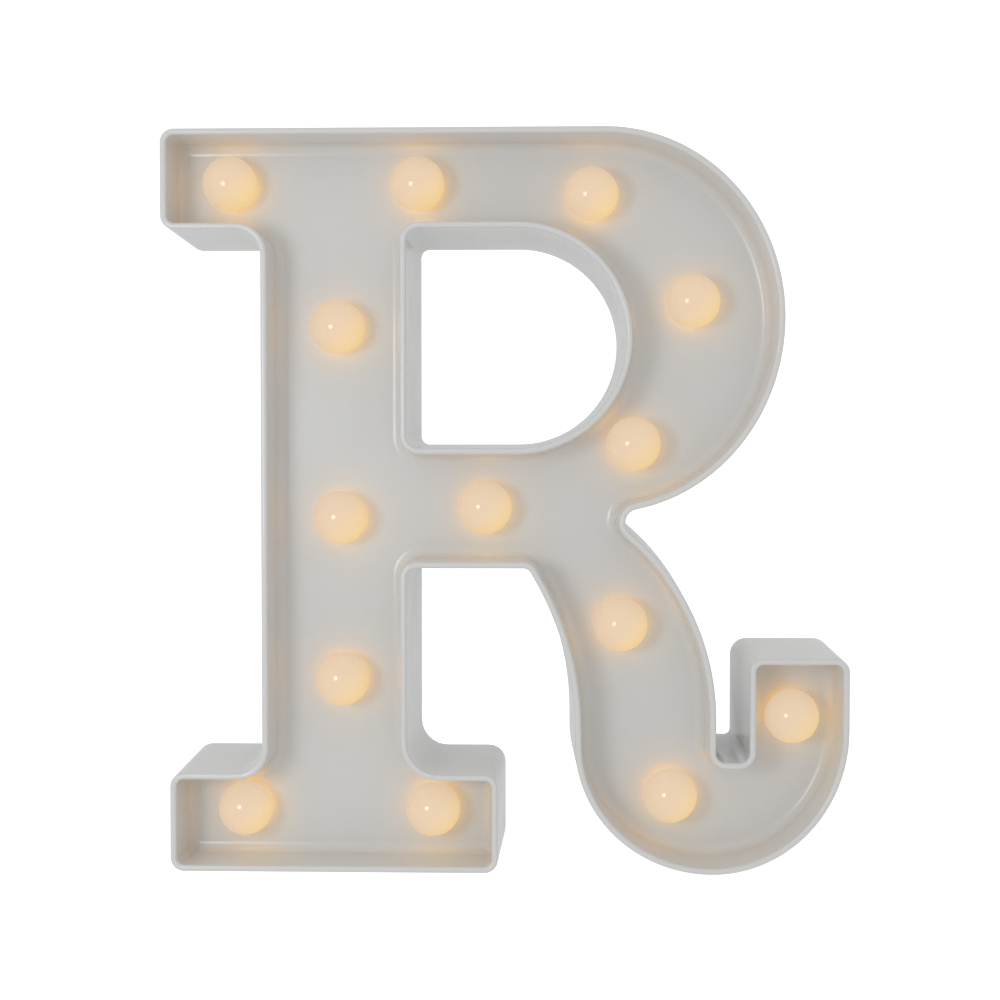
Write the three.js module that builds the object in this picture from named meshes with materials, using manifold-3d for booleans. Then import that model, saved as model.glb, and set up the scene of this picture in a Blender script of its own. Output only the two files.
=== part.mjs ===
// A light-up letter R: a white tray with ball bulbs on its recessed face and a battery box in its back.
// Millimetres. X runs right along the front, Y from the front rim to the back rim, Z up from the foot.

import * as THREE from "three";
import { mergeVertices } from "three/addons/utils/BufferGeometryUtils.js";
import Module from "manifold-3d";

const wasm = await Module();
wasm.setup();

// The letter as seen from the front
const HEIGHT = 220;
const DEPTH = 45;
const FLARE = 1.2;
const STEM_WIDTH = 42.8;
const SERIF_OUT = 29.4;
const SERIF_HEIGHT = 29.3;
const FOOT_OUT_LEFT = 27.4;
const FOOT_OUT_RIGHT = 26.85;
const FOOT_HEIGHT = 29.1;
const TOP_BAR = 29.25;
const COUNTER_HEIGHT = 64.2;
const COUNTER_FLAT = 32.3;
const ARM_HEIGHT = 35.3;
const BOWL_FLAT = 57.9;
const BOWL_STROKE = 46.1;
const BOWL_LIFT = 5.85;
const NOTCH_RISE = 16.45;
const LOWER_GAP = 49.6;
const LEG_WIDTH = 41.3;
const LEG_RUN = 3.9;
const LEG_LEFT_LEAN = 13.9;
const LEG_BACK_RUN = 12.6;
const LEG_RIGHT_LEAN = 34;
const SLOT_WIDTH = 9.8;
const SLOT_FLOOR = 33;
const HOOK_WIDTH = 29.05;
const HOOK_HEIGHT = 63.75;
const HOOK_LEFT_RISE = 38.1;
const HOOK_RIGHT_RISE = 42.55;
const CORNER = 4;
const COUNTER_CORNER = 3.8;
const SERIF_FILLET = 7.5;
const FOOT_FILLET = 9.5;
const ARM_FILLET = 3;
const LEG_FILLET = 2.5;
const SLOT_FILLET = 3;
const NOTCH_FILLET = 4;
const NOTCH_ROOM = 9.9;
const LEAST_BEND = 0.6;

// Where the left and the right side of the leg end, as shares of a quarter turn
const legTurnShares = [0.3585, 0.68];

// The tray
const RIM = 1.8;
const RIM_ROUND = 0.6;
const WIRING_ROOM = 7.5;
const RECESS_DRAFT = 0.6;
const COVE = 3;
const FACE = 2;
const BACK_WALL = 2;
const GAP = 0.3;
const OVERRUN = 1.5;

// Bulbs and their lamps
const BULB_RADIUS = 8;
const BULB_SKIN = 0.8;
const NECK_RADIUS = 4;
const NECK_REACH = 0.8;
const LAMP_RADIUS = 2.5;
const LAMP_FLANGE = 0.4;
const LAMP_FLANGE_HEIGHT = 1;
const LAMP_LENGTH = 8.6;
const LAMP_INSET = 0.4;
const LEAD_SIDE = 0.5;
const LEAD_SPACING = 2.54;
const LEAD_LENGTH = 1.2;

// Wiring on the back of the face
const RIBBON_WIDTH = 2.6;
const RIBBON_THICKNESS = 1;
const TAIL_RADIUS = 0.6;
const TAIL_RUN = 12;

// Back cover and its screws
const COVER = 2;
const COVER_FIT = 0.4;
const BOSS_RADIUS = 3;
const SCREW_RADIUS = 1.2;
const SCREW_HEAD_RADIUS = 2.5;
const SCREW_LENGTH = 10;
const SCREW_SINK = 0.2;
const PILOT_SPARE = 1;
const KEY_HEAD_RADIUS = 4.2;
const KEY_SLOT_RADIUS = 2.1;
const KEY_SLOT_RISE = 7.5;

// Two AA cells side by side, their box and its contacts
const CELL_RADIUS = 7.1;
const CELL_LENGTH = 49.2;
const CELL_NUB_RADIUS = 2.75;
const CELL_NUB_HEIGHT = 1.3;
const CELL_NUB_ROUND = 0.4;
const CELL_EDGE = 0.6;
const CELL_SPACING = 15.2;
const BOX_SIDE_CLEARANCE = 0.7;
const BOX_WALL = 2;
const BOX_FLOOR = 1.3;
const CELL_HEADROOM = 0.9;
const BOX_HINGE_WALL = 4.1;
const BOX_BOTTOM = 78;
const PLATE = 0.5;
const PLATE_MARGIN = 3;
const TAB_WIDTH = 3;
const TAB_REACH = 2.5;
const TAB_DEPTH = 3.7;
const SPRING_WIRE = 0.7;
const SPRING_LENGTH = 5;
const SPRING_WIDE = 4.2;
const SPRING_NARROW = 2.4;
const SPRING_TURNS = 3;

// Battery door, hinged along its lower edge
const DOOR = 1.8;
const DOOR_LEDGE = 0.65;
const BARREL_RADIUS = 1.5;
const BARREL_INSET = 0.5;
const PIN_RADIUS = 0.7;
const PIN_LENGTH = 2;
const EAR_WALL = 1.25;
const EAR_REACH = 2.4;
const EAR_DEPTH = 1.6;
const LATCH_HALF = 3.7;
const LATCH_STRIP = 1;
const LATCH_BEND = 2;
const LATCH_DEPTH = 5.4;
const LATCH_ROOM = 0.6;
const WELL_WALL = 1.2;

// Slide switch in a dished pocket
const SWITCH_LENGTH = 13;
const SWITCH_WIDTH = 6.4;
const SWITCH_DEPTH = 5.2;
const SWITCH_LUG_LENGTH = 2;
const SWITCH_LUG_SPACING = 5;
const SWITCH_LUG_WIDTH = 1.5;
const KNOB_LENGTH = 4;
const KNOB_WIDTH = 2.4;
const KNOB_TRAVEL = 3;
const KNOB_SOCKET = 1.6;
const KNOB_SINK = 0.5;
const POCKET_LENGTH = 16;
const POCKET_WIDTH = 9;
const POCKET_DEPTH = 2.7;
const POCKET_FLOOR = 1.5;
const RAIL = 1.2;
const RAIL_DEPTH = 3;

// Counts of facets
const BEND_STEPS = 4;
const BOWL_STEPS = 10;
const HOOK_STEPS = 8;
const LEG_STEPS = 5;
const COUNTER_STEPS = 14;
const COVE_STEPS = 2;
const BULB_SIDES = 14;
const BULB_RINGS = 7;
const BULB_INNER_RINGS = 4;
const LAMP_SIDES = 8;
const BOSS_SIDES = 10;
const CELL_SIDES = 20;
const BARREL_SIDES = 12;
const CURL_STEPS = 8;
const CURL_SIDES = 5;

// Levels and edges that follow from the sizes above
const front = -DEPTH / 2;
const back = DEPTH / 2;
const top = HEIGHT - FLARE;
const width = SERIF_OUT + STEM_WIDTH + LOWER_GAP + LEG_WIDTH + SLOT_WIDTH + HOOK_WIDTH;
const serifLeft = -width / 2;
const stemLeft = serifLeft + SERIF_OUT;
const stemRight = stemLeft + STEM_WIDTH;
const stemMid = stemLeft + STEM_WIDTH / 2;
const serifUnder = top - SERIF_HEIGHT;
const footLeft = stemLeft - FOOT_OUT_LEFT;
const footRight = stemRight + FOOT_OUT_RIGHT;
const counterTop = top - TOP_BAR;
const counterFloor = counterTop - COUNTER_HEIGHT;
const counterX = stemRight + COUNTER_FLAT;
const counterRight = counterX + COUNTER_HEIGHT / 2;
const armUnder = counterFloor - ARM_HEIGHT;
const bowlX = stemRight + BOWL_FLAT;
const bowlZ = counterFloor + COUNTER_HEIGHT / 2 + BOWL_LIFT;
const bowlRight = counterRight + BOWL_STROKE;
const notchZ = armUnder + NOTCH_RISE;
const legLeft = stemRight + LOWER_GAP;
const legRight = legLeft + LEG_WIDTH;
const hookLeft = legRight + SLOT_WIDTH;
const hookRight = hookLeft + HOOK_WIDTH;
const hookMid = (legLeft + hookRight) / 2;
const legBend = HOOK_LEFT_RISE + LEG_RUN;
const legBackBend = SLOT_FLOOR + LEG_BACK_RUN;
const coverIn = back - COVER;
const doorIn = back - DOOR;
const cellY = doorIn - CELL_HEADROOM - CELL_RADIUS;
const boxFloorTop = cellY - CELL_RADIUS - GAP;
const faceBack = boxFloorTop - BOX_FLOOR - WIRING_ROOM;
const faceFront = faceBack - FACE;
const flareAt = (y) => FLARE * (y - front) / DEPTH;

// Small helpers for vectors and solids
const point = (x, z) => new THREE.Vector2(x, z);
const RIGHT = point(1, 0);
const LEFT = point(-1, 0);
const UP = point(0, 1);
const DOWN = point(0, -1);
const between = (low, high, share) => low + (high - low) * share;
const outwardOf = (direction) => point(direction.y, -direction.x);

function signedVolume(positions, index) {
  const corner = (k) => new THREE.Vector3().fromArray(positions, 3 * index[k]);
  let sum = 0;
  for (let k = 0; k < index.length; k += 3) sum += corner(k).dot(corner(k + 1).cross(corner(k + 2)));
  return sum;
}

function solid(geometry) {
  const bare = geometry.clone();
  bare.deleteAttribute("normal");
  bare.deleteAttribute("uv");
  const merged = mergeVertices(bare);
  const source = merged.index.array;
  const index = [];
  for (let k = 0; k < source.length; k += 3) {
    const [a, b, c] = source.slice(k, k + 3);
    if (a !== b && b !== c && c !== a) index.push(a, b, c);
  }
  const positions = merged.attributes.position.array;
  if (signedVolume(positions, index) < 0) index.reverse();
  return new wasm.Manifold(new wasm.Mesh({
    numProp: 3,
    vertProperties: new Float32Array(positions),
    triVerts: new Uint32Array(index),
  }));
}

function geometryOf(shape) {
  const { vertProperties, triVerts } = shape.getMesh();
  const geometry = new THREE.BufferGeometry();
  geometry.setAttribute("position", new THREE.BufferAttribute(new Float32Array(vertProperties), 3));
  geometry.setIndex(new THREE.BufferAttribute(new Uint32Array(triVerts), 1));
  geometry.computeVertexNormals();
  return geometry;
}

const join = (shapes) => shapes.reduce((sum, shape) => sum.add(shape));
const cut = (shape, cutters) => cutters.reduce((rest, cutter) => rest.subtract(cutter), shape);

function block(x, y, z) {
  const box = new THREE.BoxGeometry(x[1] - x[0], y[1] - y[0], z[1] - z[0]);
  box.translate((x[0] + x[1]) / 2, (y[0] + y[1]) / 2, (z[0] + z[1]) / 2);
  return solid(box);
}

function rodAlongY(x, z, radius, y, sides) {
  const rod = new THREE.CylinderGeometry(radius, radius, y[1] - y[0], sides);
  rod.translate(x, (y[0] + y[1]) / 2, z);
  return solid(rod);
}

function rodAlongX(y, z, radius, x, sides) {
  const rod = new THREE.CylinderGeometry(radius, radius, x[1] - x[0], sides);
  rod.rotateZ(Math.PI / 2);
  rod.translate((x[0] + x[1]) / 2, y, z);
  return solid(rod);
}

// Outlines: the material lies on the left of the way, and a positive offset moves an edge out of it.
const sample = (x, z, normal) => (offset) => [point(x, z).addScaledVector(normal, offset)];

function bend(corner, wayIn, wayOut, radius) {
  const first = outwardOf(wayIn);
  const turn = Math.atan2(wayIn.cross(wayOut), wayIn.dot(wayOut));
  const side = Math.sign(turn);
  const last = outwardOf(wayOut);
  const mitre = first.clone().add(last).divideScalar(1 + first.dot(last));
  return (offset) => {
    const size = Math.max(radius + side * offset, LEAST_BEND);
    const centre = corner.clone().addScaledVector(mitre, offset - side * size);
    return Array.from({ length: BEND_STEPS + 1 }, (_, k) => {
      const normal = first.clone().rotateAround(point(0, 0), turn * k / BEND_STEPS);
      return centre.clone().addScaledVector(normal, side * size);
    });
  };
}

function crossing(a, wayA, b, wayB) {
  const along = b.clone().sub(a).cross(wayB) / wayA.cross(wayB);
  return a.clone().addScaledVector(wayA, along);
}

// An arc of an ellipse from one angle to another, as samples with the way and the outward side at each
function arc(centre, across, rise, from, to, steps, skipFirst = false) {
  const sense = Math.sign(to - from);
  const list = [];
  for (let k = skipFirst ? 1 : 0; k <= steps; k += 1) {
    const angle = from + (to - from) * k / steps;
    const at = point(centre.x + across * Math.cos(angle), centre.y + rise * Math.sin(angle));
    const way = point(-across * Math.sin(angle), rise * Math.cos(angle)).multiplyScalar(sense).normalize();
    list.push({ at, way, item: sample(at.x, at.y, outwardOf(way)) });
  }
  return list;
}

const items = (list) => list.map((entry) => entry.item);
const quarter = Math.PI / 2;

// One side of the leg: an arc that starts upright at its bend and leans over as it rises to its upper end
function legSide(x, lean, from, to, turnShare) {
  const turn = quarter * turnShare;
  const across = lean / (1 - Math.cos(turn));
  return { turn, across, rise: (to - from) / Math.sin(turn), centre: point(x - across, from) };
}

function legLeftArc() {
  const side = legSide(legLeft, LEG_LEFT_LEAN, legBend, armUnder, legTurnShares[0]);
  const start = side.turn - LEG_FILLET / side.rise;
  return arc(side.centre, side.across, side.rise, start, 0, LEG_STEPS);
}

function legRightArc() {
  const side = legSide(legRight, LEG_RIGHT_LEAN, legBackBend, notchZ, legTurnShares[1]);
  const end = side.turn - NOTCH_ROOM / side.rise;
  return arc(side.centre, side.across, side.rise, 0, end, LEG_STEPS);
}

function hookArc() {
  const half = hookRight - hookMid;
  const left = arc(point(hookMid, HOOK_LEFT_RISE), half, HOOK_LEFT_RISE, -Math.PI, -quarter, HOOK_STEPS);
  const right = arc(point(hookMid, HOOK_RIGHT_RISE), half, HOOK_RIGHT_RISE, -quarter, 0, HOOK_STEPS, true);
  return [...left, ...right];
}

function bowlArc() {
  const centre = point(bowlX, bowlZ);
  const across = bowlRight - bowlX;
  const start = NOTCH_ROOM / across - quarter;
  const low = arc(centre, across, bowlZ - notchZ, start, 0, BOWL_STEPS);
  const high = arc(centre, across, top - bowlZ, 0, quarter, BOWL_STEPS, true);
  return [...low, ...high];
}

function letterEdge() {
  const legLow = legLeftArc();
  const legHigh = legRightArc();
  const bowl = bowlArc();
  const legStart = legLow[0];
  const legEnd = legHigh[legHigh.length - 1];
  const legCorner = crossing(point(stemRight, armUnder), RIGHT, legStart.at, legStart.way);
  const notchCorner = crossing(legEnd.at, legEnd.way, bowl[0].at, bowl[0].way);
  return [
    bend(point(footLeft, 0), DOWN, RIGHT, CORNER),
    bend(point(footRight, 0), RIGHT, UP, CORNER),
    bend(point(footRight, FOOT_HEIGHT), UP, LEFT, CORNER),
    bend(point(stemRight, FOOT_HEIGHT), LEFT, UP, FOOT_FILLET),
    bend(point(stemRight, armUnder), UP, RIGHT, ARM_FILLET),
    bend(legCorner, RIGHT, legStart.way, LEG_FILLET),
    ...items(legLow),
    ...items(hookArc()),
    bend(point(hookRight, HOOK_HEIGHT), UP, LEFT, CORNER),
    bend(point(hookLeft, HOOK_HEIGHT), LEFT, DOWN, CORNER),
    bend(point(hookLeft, SLOT_FLOOR), DOWN, LEFT, SLOT_FILLET),
    bend(point(legRight, SLOT_FLOOR), LEFT, UP, SLOT_FILLET),
    ...items(legHigh),
    bend(notchCorner, legEnd.way, bowl[0].way, NOTCH_FILLET),
    ...items(bowl),
    bend(point(serifLeft, top), LEFT, DOWN, CORNER),
    bend(point(serifLeft, serifUnder), DOWN, RIGHT, CORNER),
    bend(point(stemLeft, serifUnder), RIGHT, DOWN, SERIF_FILLET),
    bend(point(stemLeft, FOOT_HEIGHT), DOWN, LEFT, SERIF_FILLET),
    bend(point(footLeft, FOOT_HEIGHT), LEFT, DOWN, CORNER),
  ];
}

function counterEdge() {
  const radius = COUNTER_HEIGHT / 2;
  const centre = point(counterX, counterFloor + radius);
  return [
    bend(point(stemRight, counterTop), UP, RIGHT, COUNTER_CORNER),
    ...items(arc(centre, radius, radius, quarter, -quarter, COUNTER_STEPS)),
    bend(point(stemRight, counterFloor), LEFT, UP, COUNTER_CORNER),
  ];
}

const edges = [letterEdge(), counterEdge()];
const loopsAt = (offset) => edges.map((edge) => edge.flatMap((item) => item(offset)));

// A solid of the letter's form through stations of depth and offset, front to back
function letterSolid(stations) {
  const positions = [];
  const index = [];
  const rings = stations.map(([, offset]) => loopsAt(offset));
  const counts = rings[0].map((loop) => loop.length);
  const total = counts[0] + counts[1];
  rings.forEach((loops, level) => {
    loops.flat().forEach((spot) => positions.push(spot.x, stations[level][0], spot.y));
  });
  for (let level = 0; level + 1 < stations.length; level += 1) {
    let start = 0;
    for (const count of counts) {
      for (let k = 0; k < count; k += 1) {
        const a = level * total + start + k;
        const b = level * total + start + (k + 1) % count;
        index.push(a, b + total, b, a, a + total, b + total);
      }
      start += count;
    }
  }
  const cap = (level, facesFront) => {
    const base = level * total;
    for (const [a, b, c] of THREE.ShapeUtils.triangulateShape(rings[level][0], [rings[level][1]])) {
      if (facesFront) index.push(base + a, base + b, base + c);
      else index.push(base + a, base + c, base + b);
    }
  };
  cap(0, true);
  cap(stations.length - 1, false);
  const geometry = new THREE.BufferGeometry();
  geometry.setAttribute("position", new THREE.BufferAttribute(new Float32Array(positions), 3));
  geometry.setIndex(index);
  return solid(geometry);
}

// Where the bulbs, screws and keyholes sit, as shares of the strokes that carry them
const spans = {
  serif: [[serifLeft, stemRight], [serifUnder, top]],
  bar: [[stemRight, counterX], [counterTop, top]],
  shoulder: [[counterX, bowlX], [counterTop, top]],
  stemHigh: [[stemLeft, stemRight], [counterFloor, counterTop]],
  stemMiddle: [[stemLeft, stemRight], [armUnder, counterFloor]],
  stemLow: [[stemLeft, stemRight], [FOOT_HEIGHT, armUnder]],
  bowlHigh: [[counterRight, bowlRight], [bowlZ, top]],
  bowlLow: [[counterRight, bowlRight], [counterFloor, bowlZ]],
  arm: [[stemRight, counterX], [armUnder, counterFloor]],
  leg: [[legLeft, legRight], [legBend, armUnder]],
  legTop: [[legLeft - LEG_LEFT_LEAN, legRight - LEG_RIGHT_LEAN], [armUnder, notchZ]],
  ankle: [[legLeft, legRight], [0, HOOK_LEFT_RISE]],
  hook: [[hookLeft, hookRight], [0, HOOK_HEIGHT]],
  hookBottom: [[hookMid, hookRight], [0, SLOT_FLOOR]],
  foot: [[footLeft, footRight], [0, FOOT_HEIGHT]],
};
const place = ([name, acrossShare, upShare]) => {
  const [[left, right], [low, high]] = spans[name];
  return point(between(left, right, acrossShare), between(low, high, upShare));
};
const bulbShares = [
  ["serif", 0.26, 0.497], ["bar", 0.08, 0.487], ["shoulder", 0.86, 0.376], ["stemHigh", 0.5, 0.562],
  ["bowlHigh", 0.436, 0.101], ["bowlLow", 0.056, 0.032], ["stemMiddle", 0.516, 0.411],
  ["arm", 0.7, 0.498], ["stemLow", 0.527, 0.443], ["leg", 0.33, 0.64], ["foot", 0.214, 0.584],
  ["foot", 0.797, 0.584], ["ankle", 0.69, 0.563], ["hook", 0.466, 0.714],
];
const screwShares = [
  ["serif", 0.105, 0.256], ["bar", 0.88, 0.7], ["bowlHigh", 0.651, 0.337], ["foot", 0.078, 0.378],
  ["foot", 0.923, 0.481], ["hookBottom", 0.268, 0.424], ["hook", 0.506, 0.902], ["legTop", 0.8, 0.46],
];
const keyShares = [["serif", 0.645, 0.37], ["bowlHigh", 0.217, 0.66]];
const bulbs = bulbShares.map(place);
const screws = screwShares.map(place);
const keys = keyShares.map(place);

// The front tray, with its rim, recess, bulb holes, rear cavity and screw bosses
const holeRadius = NECK_RADIUS + GAP;
const bossEnd = coverIn - GAP;
const pilotRadius = SCREW_RADIUS + GAP;
const screwTip = back - SCREW_SINK - SCREW_LENGTH;
const belowBase = block(
  [serifLeft - STEM_WIDTH, hookRight + STEM_WIDTH],
  [front - DEPTH, back + DEPTH],
  [-STEM_WIDTH, 0],
);

function recessStations() {
  const wallFoot = -RIM - RECESS_DRAFT;
  const stations = [
    [front - OVERRUN, RIM_ROUND - RIM],
    [front, RIM_ROUND - RIM],
    [front + RIM_ROUND, -RIM],
  ];
  for (let k = 0; k <= COVE_STEPS; k += 1) {
    const angle = (Math.PI / 2) * k / COVE_STEPS;
    stations.push([faceFront - COVE * (1 - Math.sin(angle)), wallFoot - COVE * (1 - Math.cos(angle))]);
  }
  return stations;
}

function frontTray() {
  const body = letterSolid([
    [front, -RIM_ROUND],
    [front + RIM_ROUND, flareAt(front + RIM_ROUND)],
    [back, FLARE],
  ]);
  const cavity = letterSolid([
    [faceBack, flareAt(faceBack) - BACK_WALL],
    [back + OVERRUN, FLARE - BACK_WALL],
  ]);
  const shell = cut(body, [belowBase, letterSolid(recessStations()), cavity]);
  const postSpan = [faceBack - FACE / 2, bossEnd];
  const pilotSpan = [screwTip - PILOT_SPARE, bossEnd + OVERRUN];
  const holeSpan = [faceFront - OVERRUN, faceBack + OVERRUN];
  const posts = screws.map((spot) => rodAlongY(spot.x, spot.y, BOSS_RADIUS, postSpan, BOSS_SIDES));
  const pilots = screws.map((spot) => rodAlongY(spot.x, spot.y, pilotRadius, pilotSpan, BOSS_SIDES));
  const holes = bulbs.map((spot) => rodAlongY(spot.x, spot.y, holeRadius, holeSpan, BULB_SIDES));
  return cut(join([shell, ...posts]), [...pilots, ...holes]);
}

// A hollow ball bulb with an open neck through the face, turned about Y
const bulbY = faceFront - GAP - Math.sqrt(BULB_RADIUS ** 2 - holeRadius ** 2);
const neckEnd = faceBack + NECK_REACH;

function ballArc(radius, neckRadius, rings) {
  const neckAngle = Math.PI - Math.asin(neckRadius / radius);
  return Array.from({ length: rings + 1 }, (_, k) => {
    const angle = neckAngle * k / rings;
    return new THREE.Vector2(radius * Math.sin(angle), bulbY - radius * Math.cos(angle));
  });
}

function bulbGeometry() {
  const innerNeck = NECK_RADIUS - BULB_SKIN;
  const profile = [
    ...ballArc(BULB_RADIUS, NECK_RADIUS, BULB_RINGS),
    new THREE.Vector2(NECK_RADIUS, neckEnd),
    new THREE.Vector2(innerNeck, neckEnd),
    ...ballArc(BULB_RADIUS - BULB_SKIN, innerNeck, BULB_INNER_RINGS).reverse(),
  ];
  return new THREE.LatheGeometry(profile, BULB_SIDES);
}

// A round lamp with a flange and two leads, seated in the bulb's neck
const lampBase = neckEnd - LAMP_INSET;

function lampSolid() {
  const flangeRadius = LAMP_RADIUS + LAMP_FLANGE;
  const domeBase = lampBase - LAMP_LENGTH + LAMP_RADIUS;
  const slope = Math.SQRT1_2;
  const profile = [
    new THREE.Vector2(0, lampBase - LAMP_LENGTH),
    new THREE.Vector2(LAMP_RADIUS * slope, domeBase - LAMP_RADIUS * slope),
    new THREE.Vector2(LAMP_RADIUS, domeBase),
    new THREE.Vector2(LAMP_RADIUS, lampBase - LAMP_FLANGE_HEIGHT),
    new THREE.Vector2(flangeRadius, lampBase - LAMP_FLANGE_HEIGHT),
    new THREE.Vector2(flangeRadius, lampBase),
    new THREE.Vector2(0, lampBase),
  ];
  const leads = [-1, 1].map((side) => {
    const x = side * LEAD_SPACING / 2;
    return block(
      [x - LEAD_SIDE / 2, x + LEAD_SIDE / 2],
      [lampBase - LAMP_FLANGE_HEIGHT / 2, lampBase + LEAD_LENGTH],
      [-LEAD_SIDE / 2, LEAD_SIDE / 2],
    );
  });
  return join([solid(new THREE.LatheGeometry(profile, LAMP_SIDES)), ...leads]);
}

// The two-core ribbon that links the lamps, and the three tails to the contacts and the switch
const ribbonFront = lampBase + LEAD_LENGTH + GAP;
const ribbonMid = ribbonFront + RIBBON_THICKNESS / 2;

function strip(a, b) {
  const way = b.clone().sub(a);
  const length = way.length() + RIBBON_WIDTH;
  const box = new THREE.BoxGeometry(length, RIBBON_THICKNESS, RIBBON_WIDTH);
  box.rotateY(-way.angle());
  box.translate((a.x + b.x) / 2, ribbonMid, (a.y + b.y) / 2);
  return solid(box);
}

const slotDetour = place(["hookBottom", 0.27, 0.67]);

function ribbonSolid() {
  const links = [
    [0, 1], [1, 2], [2, 4], [4, 5], [5, 7], [7, 6], [6, 3],
    [6, 8], [8, 10], [8, 11], [7, 9], [9, 12],
  ];
  const strips = links.map(([from, to]) => strip(bulbs[from], bulbs[to]));
  return join([...strips, strip(bulbs[12], slotDetour), strip(slotDetour, bulbs[13])]);
}

const AXIS_Y = new THREE.Vector3(0, 1, 0);

function wireSolid(points) {
  const parts = [];
  for (let k = 0; k + 1 < points.length; k += 1) {
    const way = points[k + 1].clone().sub(points[k]);
    const rod = new THREE.CylinderGeometry(TAIL_RADIUS, TAIL_RADIUS, way.length(), LAMP_SIDES);
    rod.applyQuaternion(new THREE.Quaternion().setFromUnitVectors(AXIS_Y, way.clone().normalize()));
    const middle = points[k].clone().lerp(points[k + 1], 1 / 2);
    rod.translate(middle.x, middle.y, middle.z);
    parts.push(solid(rod));
    if (k > 0) {
      const elbow = new THREE.SphereGeometry(TAIL_RADIUS, LAMP_SIDES, LAMP_SIDES / 2);
      elbow.translate(points[k].x, points[k].y, points[k].z);
      parts.push(solid(elbow));
    }
  }
  return join(parts);
}

// The battery box, in the back of the stem, worked out from the cells it holds
const boxHalf = CELL_SPACING / 2 + CELL_RADIUS + BOX_SIDE_CLEARANCE;
const plateRoom = PLATE + GAP * 2;
const boxTop = BOX_BOTTOM + 2 * plateRoom + SPRING_LENGTH + GAP + CELL_LENGTH + CELL_NUB_HEIGHT;
const tabY = boxFloorTop + TAB_DEPTH;
const ledgeY = doorIn - GAP;
const doorHalf = boxHalf + DOOR_LEDGE;
const openingHalf = doorHalf + GAP;
const hingeY = back - BARREL_RADIUS;
const hingeZ = BOX_BOTTOM - BARREL_INSET;
const doorTop = boxTop + DOOR_LEDGE;
const latchFirst = boxTop + BOX_WALL + GAP;
const latchLast = latchFirst + 2 * LATCH_BEND;
const wellHalf = LATCH_HALF + LATCH_ROOM;
const wellTop = latchLast + LATCH_ROOM + GAP;
const wellFloor = back - LATCH_DEPTH - LATCH_BEND - LATCH_ROOM;
const earOut = doorHalf + PIN_LENGTH + GAP + EAR_WALL;
const cellX = [stemMid - CELL_SPACING / 2, stemMid + CELL_SPACING / 2];
const aroundStem = (half) => [stemMid - half, stemMid + half];

function batteryBox() {
  const outerHalf = boxHalf + BOX_WALL;
  const walls = block(
    aroundStem(outerHalf),
    [boxFloorTop - BOX_FLOOR, coverIn + COVER / 2],
    [BOX_BOTTOM - BOX_HINGE_WALL, boxTop + BOX_WALL],
  );
  const well = block(
    aroundStem(wellHalf + WELL_WALL),
    [wellFloor - WELL_WALL, coverIn + COVER / 2],
    [boxTop + BOX_WALL / 2, wellTop + WELL_WALL],
  );
  const ears = block(
    aroundStem(earOut),
    [hingeY - BARREL_RADIUS - EAR_DEPTH, coverIn + COVER / 2],
    [hingeZ - EAR_REACH, hingeZ + EAR_REACH],
  );
  return join([walls, well, ears]);
}

function batteryBoxCuts() {
  const room = BARREL_RADIUS + GAP;
  const beyond = back + OVERRUN;
  const hollow = block(aroundStem(boxHalf), [boxFloorTop, beyond], [BOX_BOTTOM, boxTop]);
  const lid = block(aroundStem(openingHalf), [ledgeY, beyond], [hingeZ, doorTop + GAP]);
  const trough = block(aroundStem(openingHalf), [hingeY - room, beyond], [hingeZ - room, hingeZ + room]);
  const well = block(aroundStem(wellHalf), [wellFloor, beyond], [boxTop + BOX_WALL, wellTop]);
  const bridge = block(aroundStem(wellHalf), [ledgeY, beyond], [boxTop, wellTop]);
  const sockets = rodAlongX(
    hingeY,
    hingeZ,
    PIN_RADIUS + GAP,
    aroundStem(doorHalf + PIN_LENGTH + GAP),
    BARREL_SIDES,
  );
  const slots = cellX.map((x) => block(
    [x - TAB_WIDTH / 2 - GAP, x + TAB_WIDTH / 2 + GAP],
    [tabY - GAP, tabY + PLATE + GAP],
    [boxTop - OVERRUN, boxTop + BOX_WALL + OVERRUN],
  ));
  return [hollow, lid, trough, well, bridge, sockets, ...slots];
}

// The switch, its dished pocket and the two rails that hold it
const switchAt = place(["arm", 1.127, 0.48]);
const pocketFloor = back - POCKET_DEPTH;
const switchBack = pocketFloor - POCKET_FLOOR - GAP;
const switchFront = switchBack - SWITCH_DEPTH;
const knobX = switchAt.x + KNOB_TRAVEL / 2;
const aroundSwitch = (half) => [switchAt.x - half, switchAt.x + half];
const besideSwitch = (half) => [switchAt.y - half, switchAt.y + half];

function knobSlot(y) {
  const half = (KNOB_LENGTH + KNOB_TRAVEL) / 2 + GAP;
  return block(aroundSwitch(half), y, besideSwitch(KNOB_WIDTH / 2 + GAP));
}

function switchPocket() {
  const pan = block(
    aroundSwitch(POCKET_LENGTH / 2 + POCKET_FLOOR),
    [pocketFloor - POCKET_FLOOR, coverIn + COVER / 2],
    besideSwitch(POCKET_WIDTH / 2 + POCKET_FLOOR),
  );
  const railStart = SWITCH_WIDTH / 2 + GAP;
  const railLevels = [switchBack - RAIL_DEPTH, pocketFloor - POCKET_FLOOR / 2];
  const rails = [-1, 1].map((side) => {
    const ends = [switchAt.y + side * railStart, switchAt.y + side * (railStart + RAIL)];
    return block(aroundSwitch(SWITCH_LENGTH / 2), railLevels, ends.sort((a, b) => a - b));
  });
  return join([pan, ...rails]);
}

function switchPocketCuts() {
  const dish = block(
    aroundSwitch(POCKET_LENGTH / 2),
    [pocketFloor, back + OVERRUN],
    besideSwitch(POCKET_WIDTH / 2),
  );
  return [dish, knobSlot([pocketFloor - POCKET_FLOOR - OVERRUN, back])];
}

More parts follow.
